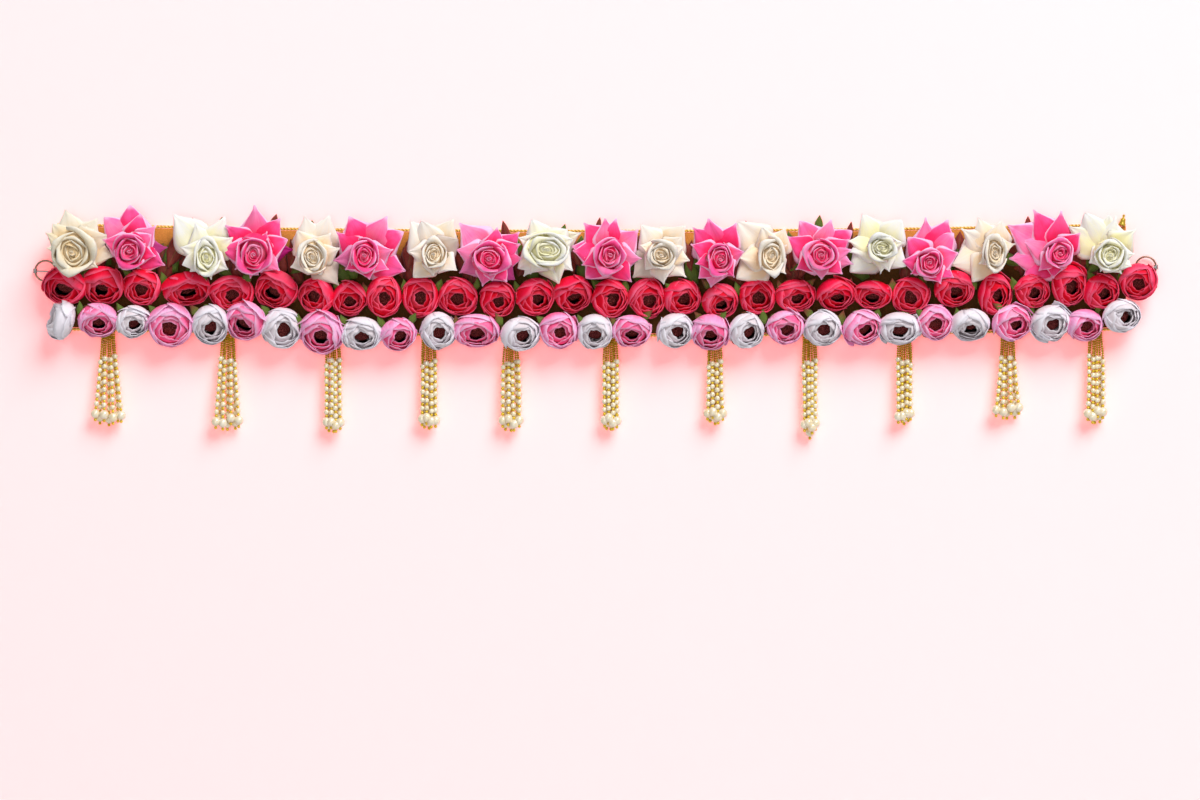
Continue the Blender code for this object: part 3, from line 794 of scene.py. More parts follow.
def leaf_cloth(name):
    """Printed leaf cloth: olive and green, with red-brown towards the tips of some leaves."""
    look = Look(name, roughness=0.6, Sheen_Weight=0.1, Specular_IOR_Level=0.35)
    across, along, _, tone = look.marks()
    rib = 1.0 - look.step(abs(across * 2.0 - 1.0), 0.0, 0.14)
    veins = look.noise(look.combine(across * 9.0, along * 14.0, tone * 30.0), 1.0, 2.0)
    green = look.mix(veins, (0.035, 0.085, 0.006), (0.16, 0.24, 0.02))
    brown = look.mix(veins, (0.1, 0.008, 0.006), (0.36, 0.045, 0.03))
    browning = look.step(tone + (along - 0.5) * 0.35, 0.5, 0.8)
    colour = look.mix(browning, green, brown)
    colour = look.mix(rib * 0.3, colour, (0.2, 0.24, 0.06))
    look.feed("Base Color", colour)
    look.bump(rib * 0.8 + veins * 0.5, 0.3, 0.6)
    return look.material


def stamens(name):
    """The dark tuft at the bottom of a bud's mouth."""
    look = Look(name, roughness=0.9, Specular_IOR_Level=0.2)
    where = look.place()
    grain = look.noise(where, 1300.0, 2.0, 0.7)
    look.feed("Base Color", look.mix(look.step(grain, 0.4, 0.7), (0.1, 0.006, 0.008), (0.5, 0.11, 0.1)))
    look.bump(grain, 0.5, 1.0)
    return look.material


def thread(name):
    """Pale cotton thread."""
    look = Look(name, Sheen_Weight=0.3)
    strands = look.noise(look.place(), 2200.0, 2.0)
    look.feed("Base Color", look.mix(strands, (0.5, 0.36, 0.12), (0.8, 0.68, 0.42)))
    look.bump(strands, 0.08, 0.7)
    return look.material


def felt(name):
    """The band's cloth: its front is orange gold along the top, and painted shade makes it dark lower down.
    """
    look = Look(name, roughness=0.95, Specular_IOR_Level=0.2)
    where = look.place()
    depth = look.node("ShaderNodeSeparateXYZ", inputs={0: where}, output=1)
    height = depth.output(2)
    fibres = look.noise(where, 900.0, 4.0, 0.7)
    blotches = look.noise(where, 40.0, 2.0)
    gold = look.mix(fibres, (0.5, 0.16, 0.02), (1.0, 0.42, 0.1))
    # Painted shade: the front is dark brown below its gold top.
    brown = look.mix(fibres, (0.035, 0.014, 0.003), (0.2, 0.085, 0.018))
    front_with_painted_shade = look.mix(look.step(height + (blotches - 0.5) * 0.03, 0.012, 0.04), brown, gold)
    plain = look.mix(fibres, (0.42, 0.22, 0.08), (0.86, 0.6, 0.28))
    plain = look.mix(look.step(blotches, 0.45, 0.75) * 0.5, plain, (0.42, 0.24, 0.1))
    colour = look.mix(look.step(depth, -0.0016, -0.0008), front_with_painted_shade, plain)
    look.feed("Base Color", colour)
    look.bump(fibres, 0.6, 0.8)
    return look.material


def gold_lame(name):
    """Metallic thread, tarnished in places."""
    look = Look(name, metallic=0.45)
    where = look.place()
    threads = look.noise(where, 1500.0, 2.0, 0.6)
    tarnish = look.noise(where, 60.0, 2.0)
    colour = look.mix(threads, (0.68, 0.36, 0.03), (1.0, 0.74, 0.2))
    colour = look.mix(look.step(tarnish, 0.55, 0.8) * 0.5, colour, (0.45, 0.22, 0.02))
    look.feed("Base Color", colour)
    look.feed("Roughness", 0.3 + threads * 0.25)
    look.bump(threads, 0.15, 0.7)
    return look.material


def pearl(name):
    """Cream bead lacquer with a strong coat; each bead has its own lustre."""
    look = Look(name, Coat_Weight=1.0, Coat_Roughness=0.12, Coat_IOR=1.9, Specular_IOR_Level=0.6)
    where = look.place()
    lustre = look.noise(where, 130.0, 1.0)
    fine = look.noise(where, 700.0, 2.0)
    colour = look.mix(lustre, (0.86, 0.67, 0.32), (0.92, 0.86, 0.72))
    colour = look.mix(look.step(fine, 0.5, 0.8) * 0.25, colour, (0.9, 0.76, 0.62))
    look.feed("Base Color", colour)
    look.feed("Roughness", 0.25 + fine * 0.12)
    return look.material


def gold_bead(name, dark, light):
    """Gold-lined glass or plated plastic; each bead has its own tone from dark to light."""
    look = Look(name, metallic=0.35)
    where = look.place()
    batch = look.noise(where, 420.0, 1.0)
    scuffs = look.noise(where, 2400.0, 2.0)
    look.feed("Base Color", look.mix(batch, dark, light))
    look.feed("Roughness", 0.2 + scuffs * 0.2)
    return look.material


def wire(name, dark, light):
    """Drawn wire, worn dull in places."""
    look = Look(name, metallic=1.0)
    where = look.place()
    wear = look.noise(where, 260.0, 3.0)
    look.feed("Base Color", look.mix(wear, dark, light))
    look.feed("Roughness", 0.3 + (wear - 0.5) * 0.2)
    look.bump(look.noise(where, 1800.0, 2.0), 0.05, 0.5)
    return look.material


def stage_look(name, grey, glow):
    """A surface for the room that is seen from its front only and casts no shadow on the object."""
    look = Look(name)
    rays = look.node("ShaderNodeLightPath")
    seen = rays.output("Is Camera Ray") + rays.output("Is Glossy Ray") + rays.output("Is Transmission Ray")
    seen = seen.below(1.0)
    hidden = look.node("ShaderNodeNewGeometry", output="Backfacing").above(rays.output("Is Shadow Ray"))
    matt = look.node("ShaderNodeBsdfDiffuse", inputs={"Color": (grey, grey, grey, 1.0)})
    light = look.node("ShaderNodeEmission", inputs={"Color": (*glow, 1.0), "Strength": seen})
    front = look.node("ShaderNodeAddShader", inputs={0: matt, 1: light})
    clear = look.node("ShaderNodeBsdfTransparent")
    shown = look.node("ShaderNodeMixShader", inputs={0: hidden, 1: front, 2: clear})
    look.join(look.nodes["Material Output"].inputs["Surface"], shown)
    return look.material


# ---------------------------------------------------------------- camera, light and room


def make_camera():
    camera = show("camera", bpy.data.cameras.new("camera"))
    camera.location = Vector(CAMERA_PLACE) * MM
    camera.rotation_euler = (math.radians(90), 0.0, 0.0)
    camera.data.lens = CAMERA_LENS
    bpy.context.scene.camera = camera


def make_light():
    for name, direction, size, power in LAMPS:
        lamp = show(name, bpy.data.lights.new(name, "AREA"))
        lamp.data.size = size
        lamp.data.energy = power
        lamp.location = direction.normalized() * LAMP_DISTANCE * MM
        lamp.rotation_euler = (-direction).to_track_quat("-Z", "Y").to_euler()

    world = bpy.data.worlds.new("room")
    bpy.context.scene.world = world
    room = Tree(world)
    rays = room.node("ShaderNodeLightPath")
    seen = rays.output("Is Camera Ray").above(rays.output("Is Transmission Ray"))
    fill = room.node("ShaderNodeBackground", inputs={"Color": (1.0, 1.0, 1.0, 1.0), "Strength": FILL})
    shown = room.node("ShaderNodeBackground", inputs={"Color": (*ROOM_COLOUR, 1.0)})
    pick = room.node("ShaderNodeMixShader", inputs={0: seen, 1: fill, 2: shown})
    room.join(room.nodes["World Output"].inputs["Surface"], pick)
    bpy.context.scene.view_settings.view_transform = "Standard"


def make_stage(name, turn, place, grey, glow):
    bm = bmesh.new()
    where = Matrix.Translation(place) @ turn
    bmesh.ops.create_grid(bm, x_segments=1, y_segments=1, size=STAGE_SIZE / 2, matrix=where)
    stage = show(name, finished_mesh(name, bm, stage_look(name, grey, glow)))


make_camera()
make_light()
make_stage("wall", TO_ROOM, (0.0, WALL_GAP, 0.0), WALL_GREY, WALL_GLOW)
make_stage("floor", Matrix.Identity(4), (0.0, -STAGE_SIZE / 2, -FLOOR_DEPTH), FLOOR_GREY, FLOOR_GLOW)

# ---------------------------------------------------------------- silk flowers

ROSE_SILKS = {
    "pink": silk(
        "rose_pink_silk", (0.98, 0.11, 0.37), (0.92, 0.003, 0.08), (1.0, 0.68, 0.95), (0.4, 0.012, 0.16),
        fold_shade_strength=0.76, edging=0.8, inner_layer_shade=0.5),
    "olive": silk(
        "rose_cream_olive_silk", (0.86, 0.8, 0.66), (0.86, 0.6, 0.26), (0.88, 0.86, 0.78),
        (0.34, 0.26, 0.14), fold_shade_strength=0.7),
    "cream": silk(
        "rose_cream_silk", (0.9, 0.84, 0.76), (0.99, 0.72, 0.38), (0.9, 0.87, 0.86), (0.42, 0.27, 0.2),
        fold_shade_strength=0.6, edging=0.6),
    "white": silk(
        "rose_white_silk", (0.88, 0.87, 0.85), (0.96, 0.88, 0.27), (0.88, 0.88, 0.9), (0.42, 0.36, 0.25),
        fold_shade_strength=0.5, edging=0.6),
}
BUD_SILKS = {
    "bud_crimson": silk(
        "bud_crimson_silk", (1.0, 0.014, 0.08), (0.72, 0.001, 0.012), (1.0, 0.3, 0.5),
        (0.1, 0.002, 0.01), fold_shade_strength=0.85, edging=0.4, lift=0.25, inner_layer_shade=1.2),
    "bud_white": silk(
        "bud_white_silk", (0.9, 0.85, 0.92), (0.68, 0.56, 0.56), (0.9, 0.88, 0.96), (0.45, 0.42, 0.44),
        veins=0.06, fold_shade_strength=0.5, inner_layer_shade=1.2),
    "bud_pink": silk(
        "bud_pink_silk", (1.0, 0.4, 0.72), (1.0, 0.05, 0.2), (1.0, 0.76, 0.97), (0.45, 0.03, 0.15),
        fold_shade_strength=0.75, inner_layer_shade=1.7),
}
STAMENS = stamens("bud_stamens")
LEAF = leaf_cloth("leaf_cloth")
GOLD_CORD = gold_lame("gold_lame")
GOLD_BEAD = gold_bead("gold_bead", (0.56, 0.33, 0.005), (0.95, 0.7, 0.06))
GOLD_SEED = gold_bead("gold_seed", (0.2, 0.1, 0.0), (0.82, 0.55, 0.008))
CAP_GOLD = gold_bead("cap_gold", (0.3, 0.18, 0.005), (0.78, 0.56, 0.06))
PEARL = pearl("pearl")
BRONZE = wire("bronze_wire", (0.1, 0.075, 0.055), (0.36, 0.28, 0.2))
STEEL = wire("steel_wire", (0.16, 0.17, 0.17), (0.48, 0.5, 0.49))
THREAD = thread("tassel_thread")
FELT = felt("band_felt")


def make_rose(number, place):
    """A rose: pointed petals round a bloom of rolled ones with a scroll in its middle."""
    silk_name, x, z, width, height, tips = place
    rng = random.Random(100 + number)
    flower = Flower()
    for tip in tips:
        across, up = tip[0], tip[1]
        reach = math.hypot(across, up)
        far = smooth_step(NEAR_TIP, FAR_TIP, reach)
        foot = FOOT_REACH / reach
        pointed_petal(
            flower,
            (x + across * foot, between(*FOOT_DEPTH, far), z + up * foot),
            (x + across, between(*TIP_DEPTH, far) + rng.uniform(-1.5, 1.5), z + up),
            between(*TIP_HALF_WIDTH, far) * rng.uniform(0.9, 1.12),
            between(*TIP_BULGE, far), rng,
            tone=between(SHADE_TONE, 1.0, tip[2]) if len(tip) > 2 else rng.uniform(0.3, 0.7),
            apex=rng.uniform(0.7, 0.95), sharp=rng.choice(TIP_SHARPNESS),
        )
    tilt = tilt_towards(rng.uniform(-3.0, 3.0), rng.uniform(-6.0, 1.0), ROSE_MOUTH_REACH)
    flower.place = flower_frame(x, ROSE_MIDDLE, z, width / 2, ROSE_HALF_DEPTH, height / 2, tilt)
    flower.oval = rng.uniform(0.0, math.pi)
    layered_globe(flower, BLOOM_LAYERS, rng, lipped_petal)
    heart_radius, heart_low, heart_turns = HEART
    scroll(flower, heart_radius, heart_low, rng.uniform(0.7, 0.78), heart_turns, rng)
    heart_floor(flower, *HEART_FLOOR)
    name = f"rose_{number:02d}"
    add_piece(
        f"{name}_petals", flower.bm, ROSE_SILKS[silk_name], (name,),
        thickness=SILK_THICKNESS,
    )


def bud_frame(x, z, width, height, across, up):
    """The frame of a bud of a size, with its mouth a way across and up from its middle."""
    tilt = tilt_towards(across, up, BUD_MOUTH_REACH)
    return flower_frame(x, BUD_MIDDLE, z, width / 2, BUD_HALF_DEPTH, height / 2, tilt)


def make_bud(name, place, loose, slot, stands_for, seed):
    """A bud of cupped petals, and its loose ones."""
    rng = random.Random(seed)
    flower = Flower(bud_frame(*place), BUD_BACK)
    layered_globe(flower, BUD_LAYERS, rng, bud_petal)
    for direction, spread, lip, flare in loose:
        layer = (LOOSE_RADIUS, 0.0, lip, spread, flare)
        turn = math.radians(direction)
        globe_petal(flower, layer, turn, rng, (8, 8), 0.0, LOOSE_FOOT, LOOSE_TUCK, LOOSE_RAGGED)
    add_piece(name, flower.bm, BUD_SILKS[slot], (stands_for,), thickness=SILK_THICKNESS)


def make_bud_row(row, buds, loose, slots, seed):
    """Every bud of a row, in the colours of slots by turns."""
    for number, place in enumerate(buds, 1):
        own = [rest for first, *rest in loose if first == number]
        group = (number - 1) // BUDS_A_GROUP + 1
        make_bud(
            f"{row}_bud_{number:02d}", place, own, slots[(number - 1) % len(slots)],
            f"{row}_buds_{group:02d}", seed + number,
        )


def make_calyx(green, globe, rng, further):
    """Pointed sepals that hold a flower's globe from behind."""
    green.place = globe
    turn = rng.uniform(0.0, math.tau)
    radius, lift, lip, spread, flare = SEPAL_LAYER
    for k in range(SEPALS):
        layer = (radius, lift, further + lip + rng.uniform(-12.0, 14.0), spread, flare)
        at = turn + math.tau * k / SEPALS + rng.uniform(-0.15, 0.15)
        globe_petal(green, layer, at, rng, (4, 7), 0.0, SEPAL_FOOT, SEPAL_TUCK, SEPAL_RAGGED)


def make_greens(row, heads, stub_up, rng):
    """The sepals and stubs of a row of flowers, one for each of heads.

    A head is (x, z, frame, depth of its back, how much further its sepals reach).
    """
    green = Flower(back=BUD_BACK - 0.5)
    stubs = bmesh.new()
    for x, z, globe, back, further in heads:
        make_calyx(green, globe, rng, further)
        make_stub(stubs, x, z, stub_up, back)
    add_piece(f"{row}_sepals", green.bm, LEAF, thickness=SILK_THICKNESS)
    add_piece(f"{row}_stubs", stubs, LEAF)


def bud_heads(buds):
    """A row of buds as heads for make_greens."""
    back = BUD_MIDDLE - BACK_SHARE * BUD_HALF_DEPTH
    heads = []
    for bud in buds:
        x, z, _, _, across, _ = bud
        further = TURNED_CALYX if abs(across) > BUD_MOUTH_REACH else 0.0
        heads.append((x, z, bud_frame(*bud), back, further))
    return heads


def rose_heads():
    """The roses as heads for make_greens, with narrow calyxes that face the room."""
    back = ROSE_MIDDLE - BACK_SHARE * ROSE_HALF_DEPTH
    straight = tilt_towards(0.0, 0.0, ROSE_MOUTH_REACH)
    heads = []
    for _, x, z, _, _, _ in ROSES:
        globe = flower_frame(x, ROSE_MIDDLE, z, ROSE_CALYX, ROSE_HALF_DEPTH, ROSE_CALYX, straight)
        heads.append((x, z, globe, back, 0.0))
    return heads


def make_leaf(green, tip, lean, length, half_width, tone, depth, rng):
    """A leaf blade that ends in tip, pointing up and leaning to the right by lean degrees."""
    x, z = tip
    way = Vector((math.sin(math.radians(lean)), 0.0, math.cos(math.radians(lean))))
    foot = Vector((x, depth - 3.0, z)) - way * length
    pointed_petal(green, foot, (x, depth, z), half_width, 2.0, rng, (4, 8), tone)


def leaves_behind_roses(green, rng):
    """A cross of leaves behind each rose."""
    for _, x, z, _, _, _ in ROSES:
        for k in range(LEAVES_A_ROSE):
            lean = math.degrees(rng.uniform(-0.35, 0.35)) + 90.0 * k + 45.0
            turned = math.radians(lean)
            away = Vector((math.sin(turned), math.cos(turned))) * rng.uniform(*ROSE_LEAF_REACH)
            tip = (x + away.x, min(z + away.y, LEAF_LIMIT))
            make_leaf(
                green, tip, lean, away.length - 4.0, rng.uniform(4.5, 6.5), rng.uniform(0.1, 0.95),
                rng.uniform(10.0, 15.0), rng,
            )


def leaves_between_buds(green, row, rng):
    """A small green leaf above each gap between two buds of a row."""
    for (left, low, *_), (right, high, *_) in zip(row, row[1:]):
        tip = ((left + right) / 2 + rng.uniform(-3.0, 3.0), (low + high) / 2 + rng.uniform(13.0, 18.0))
        make_leaf(
            green, tip, rng.uniform(-60.0, 60.0), rng.uniform(11.0, 14.0), rng.uniform(3.5, 5.0),
            rng.choice((0.05, 0.15, 0.3, 0.6)), rng.uniform(19.0, 24.0), rng,
        )


def leaves_between_roses(green, rng):
    """Broad leaves, mostly brown, one above the other in each gap between two roses."""
    for (_, left, low, *_), (_, right, high, *_) in zip(ROSES, ROSES[1:]):
        for up in LEAVES_BETWEEN_ROSES:
            x, z = (left + right) / 2 + rng.uniform(-7.0, 7.0), (low + high) / 2 + up
            hanging = up <= LEAVES_HANG_BELOW
            lean = rng.uniform(145.0, 215.0) if hanging else rng.uniform(-35.0, 35.0)
            make_leaf(
                green, (x, z), lean, rng.uniform(24.0, 30.0), rng.uniform(7.5, 10.0),
                rng.choice((0.1, 0.85, 0.9, 0.95)), rng.uniform(6.0, 15.0), rng,
            )


def make_leaves():
    """Sepals and stubs of each row, and the leaf blades behind the roses and between the flowers."""
    rng = random.Random(400)
    make_greens("middle", bud_heads(MIDDLE_BUDS), 0.0, rng)
    make_greens("bottom", bud_heads(BOTTOM_BUDS), BOTTOM_FIXING_UP, rng)
    make_greens("rose", rose_heads(), 0.0, rng)
    blades = Flower()
    for x, z, lean, length, half_width, tone in LEAF_TIPS:
        make_leaf(blades, (x, z), lean, length, half_width, tone, rng.uniform(7.0, 12.0), rng)
    leaves_behind_roses(blades, rng)
    for row in (MIDDLE_BUDS, BOTTOM_BUDS):
        leaves_between_buds(blades, row, rng)
    leaves_between_roses(blades, rng)
    add_piece("leaf_blades", blades.bm, LEAF, thickness=SILK_THICKNESS)


def fixing_place(x):
    """Where on the band a flower at x is fixed."""
    return min(max(x, band_low.x + FIXING_INSET), band_high.x - FIXING_INSET)


def make_stub(bm, x, z, up, back):
    """The wrapped wire stub from the band, up above the flower's middle, to the flower's back."""
    foot = Vector((fixing_place(x), -BAND_FRONT, z + up))
    head = Vector((x, -back - STUB_OVERLAP, z))
    turn = (head - foot).to_track_quat("Z", "Y").to_matrix().to_4x4()
    where = Matrix.Translation((foot + head) / 2) @ turn
    wide, narrow = STUB_RADII
    bmesh.ops.create_cone(
        bm, cap_ends=True, segments=8, radius1=wide, radius2=narrow, depth=(head - foot).length, matrix=where,
    )


def make_stamens(name, buds):
    """The tufts in the mouths of a row of buds: a heap of dark knobs in each."""
    bm = bmesh.new()
    rng = random.Random(500)
    for bud in buds:
        globe = bud_frame(*bud)
        tuft = bmesh.new()
        bmesh.ops.create_icosphere(tuft, subdivisions=2, radius=MOUTH_DOME, matrix=globe @ MOUTH_FLOOR)
        for k in range(STAMENS_A_BUD):
            out = STAMEN_SPREAD * math.sqrt(k / STAMENS_A_BUD)
            turn = k * GOLDEN_ANGLE + rng.uniform(-0.3, 0.3)
            height = 0.3 - 0.5 * out + rng.uniform(-0.08, 0.08)
            knob = Vector((out * math.cos(turn), out * math.sin(turn), height))
            where = Matrix.Translation(globe @ knob)
            bmesh.ops.create_icosphere(tuft, subdivisions=1, radius=rng.uniform(*STAMEN_SIZE), matrix=where)
        gather(bm, tuft)
    add_piece(name, bm, STAMENS)


# ---------------------------------------------------------------- cords, beads and wire


def drop(x):
    """How far the band hangs below its ends' level at x."""
    return SAG * (1.0 - (x / band_low.x) ** 2)


def add_cord(name, routes, radius, material, stands_for=(), body=GARLAND, closed=False, sides=2):
    """Round cords along routes of points in millimetres."""
    curve = bpy.data.curves.new(name, "CURVE")
    curve.dimensions = "3D"
    curve.bevel_depth = radius * MM
    curve.bevel_resolution = sides
    curve.use_fill_caps = not closed
    curve.materials.append(material)
    for route in routes:
        spline = curve.splines.new("POLY")
        spline.points.add(len(route) - 1)
        spline.use_cyclic_u = closed
        for point, place in zip(spline.points, route):
            point.co = (*(Vector(place) * MM), 1.0)
    settle(show(name, curve), stands_for, body)


def make_edging(node, height, right):
    """Two gold plies twisted round each other along an edge of the band."""
    turns = (right - band_low.x) / TWIST_PITCH
    steps = int(turns * TWIST_STEPS)
    off = EDGING_RADIUS - PLY_RADIUS
    routes = []
    for ply in range(2):
        route = []
        for step in range(steps + 1):
            x = between(band_low.x, right, step / steps)
            angle = math.tau * (x / TWIST_PITCH + ply / 2)
            route.append((x, -EDGING_DEPTH + off * math.cos(angle), height - drop(x) + off * math.sin(angle)))
        routes.append(route)
    add_cord(f"{node}_cord", routes, PLY_RADIUS, GOLD_CORD, (node,), sides=1)


def smooth_route(points, steps=6):
    """Points along a smooth curve through the points given."""
    route = []
    last = len(points) - 1
    for k in range(last):
        before, start = Vector(points[max(k - 1, 0)]), Vector(points[k])
        end, after = Vector(points[k + 1]), Vector(points[min(k + 2, last)])
        for step in range(steps):
            t = step / steps
            route.append(0.5 * (
                2 * start + (end - before) * t + (2 * before - 5 * start + 4 * end - after) * t * t
                + (3 * start - before - 3 * end + after) * t ** 3
            ))
    route.append(Vector(points[last]))
    return route


def make_ring(side, outward):
    """A hanging ring with its crimp and the tie wire that holds it to the band."""
    low, high = (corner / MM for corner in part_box(f"hanging_ring_{side}"))
    centre = (low + high) / 2
    circle = []
    for k in range(RING_STEPS):
        angle = math.tau * k / RING_STEPS
        circle.append(centre + RING_RADIUS * Vector((math.cos(angle), 0.0, math.sin(angle))))
    add_cord(
        f"hanging_ring_{side}_wire", [circle], RING_WIRE, BRONZE, (f"hanging_ring_{side}",),
        closed=True, sides=3,
    )
    crimp = centre + Vector((outward * RING_RADIUS, 0.0, 0.0))
    bm = bmesh.new()
    spin_profile(bm, CRIMP_PROFILE, crimp, CRIMP_STEPS, closed=True)
    add_piece(f"ring_crimp_{side}", bm, STEEL, (f"ring_tie_{side}",))
    band_end = band_high.x if outward > 0 else band_low.x
    before_ring = centre.y - RING_WIRE - TIE_WIRE - 0.45
    route = smooth_route((
        crimp + Vector((-outward * 0.3, -1.4, 0.0)),
        crimp + Vector((-outward * 4.0, -1.9, -0.4)),
        Vector((centre.x - outward * RING_RADIUS, before_ring, centre.z - 1.0)),
        Vector((band_end, -BAND_FRONT - 0.4 - TIE_WIRE, centre.z - 1.3)),
        Vector((band_end - outward * 5.0, -BAND_FRONT - 0.3 - TIE_WIRE, centre.z - 1.5)),
    ))
    add_cord(f"ring_tie_{side}_wire", [route], TIE_WIRE, STEEL, (f"ring_tie_{side}",), sides=2)


def spin_profile(bm, profile, centre, steps, closed=False, lean=0.0):
    """A turned solid from (radius, height) points, standing on centre."""
    turn = Matrix.Translation(centre) @ Matrix.Rotation(lean, 4, "Y")
    verts = [bm.verts.new((radius, 0.0, height)) for radius, height in profile]
    edges = [bm.edges.new(pair) for pair in zip(verts, verts[1:])]
    if closed:
        edges.append(bm.edges.new((verts[-1], verts[0])))
    bmesh.ops.spin(
        bm, geom=verts + edges, cent=(0.0, 0.0, 0.0), axis=(0.0, 0.0, 1.0), angle=math.tau, steps=steps,
        use_merge=True,
    )
    if not closed:
        bmesh.ops.holes_fill(bm, edges=bm.edges, sides=0)
    bmesh.ops.recalc_face_normals(bm, faces=bm.faces)
    bmesh.ops.transform(bm, matrix=turn, verts=bm.verts)


def make_end_cap():
    """The bell-shaped gold cap on the right end of the top cord."""
    low, high = (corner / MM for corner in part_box("end_cap"))
    bm = bmesh.new()
    foot = Vector(((low.x + high.x) / 2 - CAP_LEFT, (low.y + high.y) / 2, low.z))
    spin_profile(bm, CAP_PROFILE, foot, CAP_STEPS, lean=CAP_LEAN)
    add_piece("end_cap_bell", bm, CAP_GOLD, ("end_cap",))


def strand_point(start, seeds, end, share):
    """A point on a strand; share 0 is its head and 1 its last bead."""
    knee = SEEDS_LENGTH / (start.z - end.z)
    if share < knee:
        return start.lerp(seeds, share / knee)
    return seeds.lerp(end, (share - knee) / (1.0 - knee))


def add_bead(bm, place, along, radius, length, segments, rings):
    """A bead of a length along its thread."""
    turn = along.to_track_quat("Z", "Y").to_matrix().to_4x4()
    size = Matrix.Diagonal((radius, radius, length / 2, 1.0))
    bmesh.ops.create_uvsphere(
        bm, u_segments=segments, v_segments=rings, radius=1.0, matrix=Matrix.Translation(place) @ turn @ size,
    )


def make_tassel(number, joint):
    """Strands of seeds and pearls below a wound head, on a thread loop."""
    node = joint["child"]
    low, high = (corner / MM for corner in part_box(node))
    pivot = Vector(joint["pos_m"]) / MM
    half = (high.x - low.x) / 2 - END_PEARL_RADIUS
    rng = random.Random(600 + number)
    mirror = rng.choice((-1, 1))
    head_foot = pivot.z - HEAD_BELOW_PIVOT - HEAD_HEIGHT
    pearls, seeds, spacers, threads = bmesh.new(), bmesh.new(), bmesh.new(), []
    for k, (column, end_column, row, end_row, higher) in enumerate(STRANDS):
        if number == LONG_STRAND_TASSEL and higher > 0.0:
            higher += LONG_STRAND_EXTRA
        if higher > 0.0:
            higher = max(0.3, higher + rng.uniform(-1.5, 1.5))
        across = mirror * column * HEAD_HALF_WIDTH
        start = Vector((pivot.x + across, -HEAD_ROWS[row], head_foot))
        knee = Vector((pivot.x + across * SEEDS_SPREAD, -SEEDS_ROWS[row], head_foot - SEEDS_LENGTH))
        tip_z = low.z + TIP_BEAD_RADIUS + higher
        end_z = tip_z + TIP_BEAD_RADIUS + END_PEARL_RADIUS - TIP_OVERLAP
        end = Vector((pivot.x + mirror * end_column * half, -between(*END_ROWS, end_row), end_z))
        bow = rng.uniform(-STRAND_BOW, STRAND_BOW)
        strings = bmesh.new(), bmesh.new(), bmesh.new()

        def at(z):
            share = max(0.0, (start.z - z) / (start.z - end.z))
            place = strand_point(start, knee, end, share)
            return place + Vector((bow * math.sin(math.pi * share), 0.0, max(0.0, z - start.z)))

        def bead(bm, z, radius, length, segments, rings):
            add_bead(bm, at(z), at(z - 0.5) - at(z + 0.5), radius, length, segments, rings)

        z = start.z + SEEDS_RISE - SEED_LENGTH / 2 * (k % 2)
        while z > knee.z - 0.5 - STAGGER[k % len(STAGGER)]:
            bead(strings[1], z, SEED_RADIUS * rng.uniform(0.94, 1.04), SEED_LENGTH, 7, 4)
            z -= SEED_LENGTH
        z += SEED_LENGTH / 2
        last = end.z + END_PEARL_RADIUS
        pairs = round((z - last) / BEAD_PITCH)
        pitch = (z - last) / pairs
        for _ in range(pairs):
            size = PEARL_RADIUS * rng.uniform(0.94, 1.04)
            bead(strings[0], z - size, size, 2 * size, 12, 8)
            room = pitch - 2 * size
            bead(strings[2], z - pitch + room / 2, SPACER_RADIUS, room + BEAD_OVERLAP, 8, 5)
            z -= pitch
        bead(strings[0], end.z, END_PEARL_RADIUS * rng.uniform(0.95, 1.0), 2 * END_PEARL_RADIUS, 18, 12)
        tip = Vector((end.x, end.y, tip_z))
        add_bead(strings[2], tip, Vector((0.0, 0.0, 1.0)), TIP_BEAD_RADIUS, 2 * TIP_BEAD_RADIUS, 10, 6)
        threads.append([start, knee, end, tip])
        for whole, part in zip((pearls, seeds, spacers), strings):
            gather(whole, part)
    add_piece(f"{node}_pearls", pearls, PEARL, (node,), body=node)
    add_piece(f"{node}_seeds", seeds, GOLD_SEED, (node,), body=node)
    add_piece(f"{node}_spacers", spacers, GOLD_BEAD, (node,), body=node)
    add_cord(f"{node}_threads", threads, THREAD_RADIUS, THREAD, (node,), node, sides=1)
    add_cord(f"{node}_head", head_windings(pivot), HEAD_WIRE, GOLD_CORD, (node,), node, sides=1)


def head_windings(pivot):
    """Gold thread wound along the head, and the loops that hang it from the band's edge."""
    coil = []
    steps = HEAD_TURNS * STEPS_A_TURN
    depth, height = HEAD_COIL
    middle_z = pivot.z - HEAD_BELOW_PIVOT - HEAD_HEIGHT / 2
    middle = Vector((pivot.x, pivot.y - HEAD_COIL_FORWARD, middle_z))
    for k in range(steps + 1):
        angle = math.tau * k / STEPS_A_TURN
        x = between(-HEAD_HALF_WIDTH, HEAD_HALF_WIDTH, k / steps)
        coil.append(middle + Vector((x, depth * math.cos(angle), height * math.sin(angle))))
    routes = [coil]
    half_width, rise = LOOP_SIZE
    for offset in LOOPS:
        loop = []
        for k in range(LOOP_STEPS + 1):
            angle = math.pi * k / LOOP_STEPS
            loop.append(pivot + Vector((half_width * math.cos(angle), offset, rise * math.sin(angle))))
        foot = Vector((0.0, 0.0, -HEAD_BELOW_PIVOT - 0.4))
        routes.append([loop[0] + foot, *loop, loop[-1] + foot])
    return routes


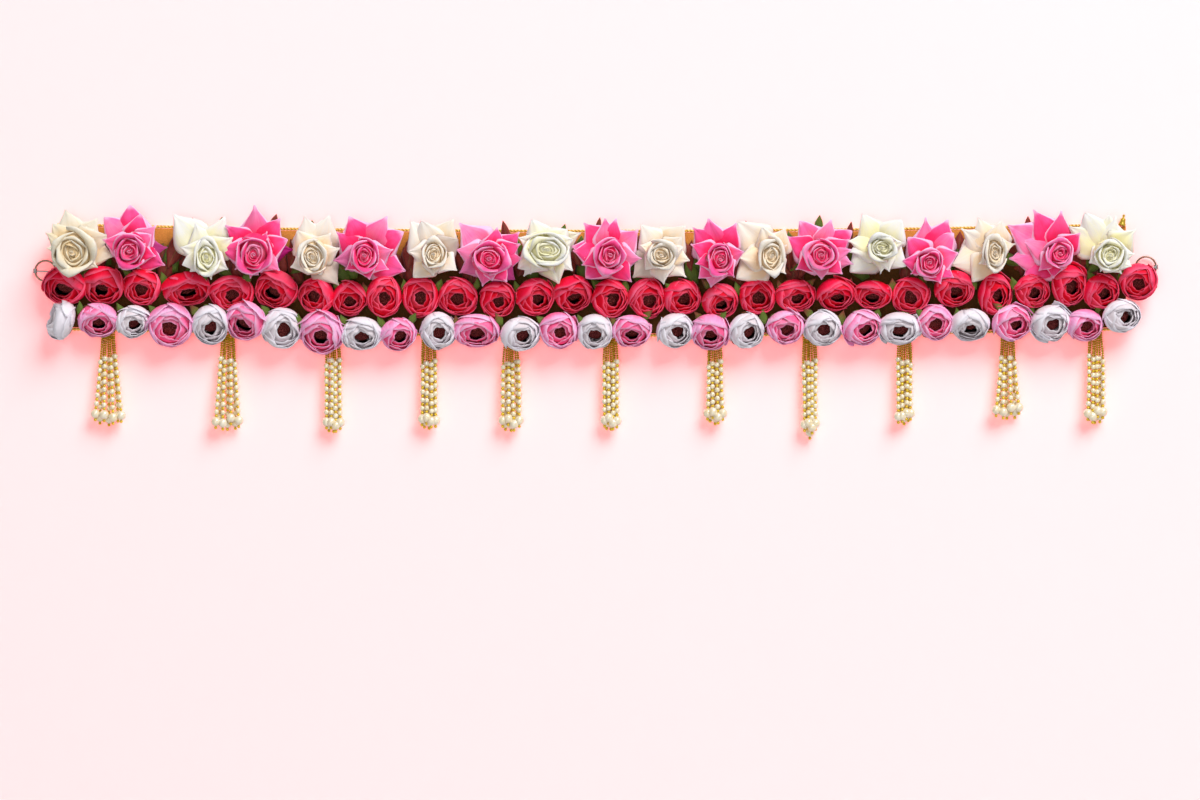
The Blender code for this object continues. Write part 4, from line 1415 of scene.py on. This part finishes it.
def stitch(start, end):
    """A short thread that lies bowed on the band's back between two needle holes."""
    bow = Vector((0.0, STITCH_DEPTH, 0.0))
    return [start - bow, start + bow * 0.4, (start + end) / 2 + bow * 0.6, end + bow * 0.4, end - bow]


def make_stitches():
    """On the band's back: a cross where each flower is sewn on, and a running stitch along each edge."""
    routes = []
    places = [(x, z) for _, x, z, _, _, _ in ROSES] + [(b[0], b[1]) for b in MIDDLE_BUDS]
    places += [(b[0], b[1] + BOTTOM_FIXING_UP) for b in BOTTOM_BUDS]
    half_width, half_height = CROSS_STITCH
    for x, z in places:
        middle = Vector((fixing_place(x), 0.0, z))
        for lean in (-1, 1):
            arm = Vector((half_width, 0.0, half_height * lean))
            routes.append(stitch(middle - arm, middle + arm))
    for k in range(int((band_high.x - band_low.x) / EDGE_STITCH_PITCH)):
        x = band_low.x + EDGE_STITCH_PITCH * (k + 0.2)
        for height in (band_high.z - EDGE_STITCH_INSET, band_low.z + SAG + EDGE_STITCH_INSET):
            z = height - drop(x)
            end = x + EDGE_STITCH_PITCH * EDGE_STITCH_LENGTH
            routes.append(stitch(Vector((x, 0.0, z)), Vector((end, 0.0, z))))
    add_cord("back_stitches", routes, STITCH_THREAD, THREAD, sides=1)


band_low, band_high = (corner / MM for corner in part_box("backing_band"))
edging_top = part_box("edging_top")[1] / MM

for number, place in enumerate(ROSES, 1):
    make_rose(number, place)
make_bud_row("middle", MIDDLE_BUDS, MIDDLE_LOOSE, ("bud_crimson",), 200)
make_bud_row("bottom", BOTTOM_BUDS, BOTTOM_LOOSE, ("bud_white", "bud_pink"), 300)
make_stamens("middle_stamens", MIDDLE_BUDS)
make_stamens("bottom_stamens", BOTTOM_BUDS)
make_leaves()
make_edging("edging_top", edging_top.z - EDGING_RADIUS, edging_top.x)
make_edging("edging_bottom", band_low.z + SAG - EDGING_GAP - EDGING_RADIUS, band_high.x)
for side, outward in (("left", -1), ("right", 1)):
    make_ring(side, outward)
make_end_cap()
for number, joint in enumerate(frame["joints"], 1):
    make_tassel(number, joint)
make_stitches()

frame["nodes"]["backing_band"].data.materials.clear()
frame["nodes"]["backing_band"].data.materials.append(FELT)
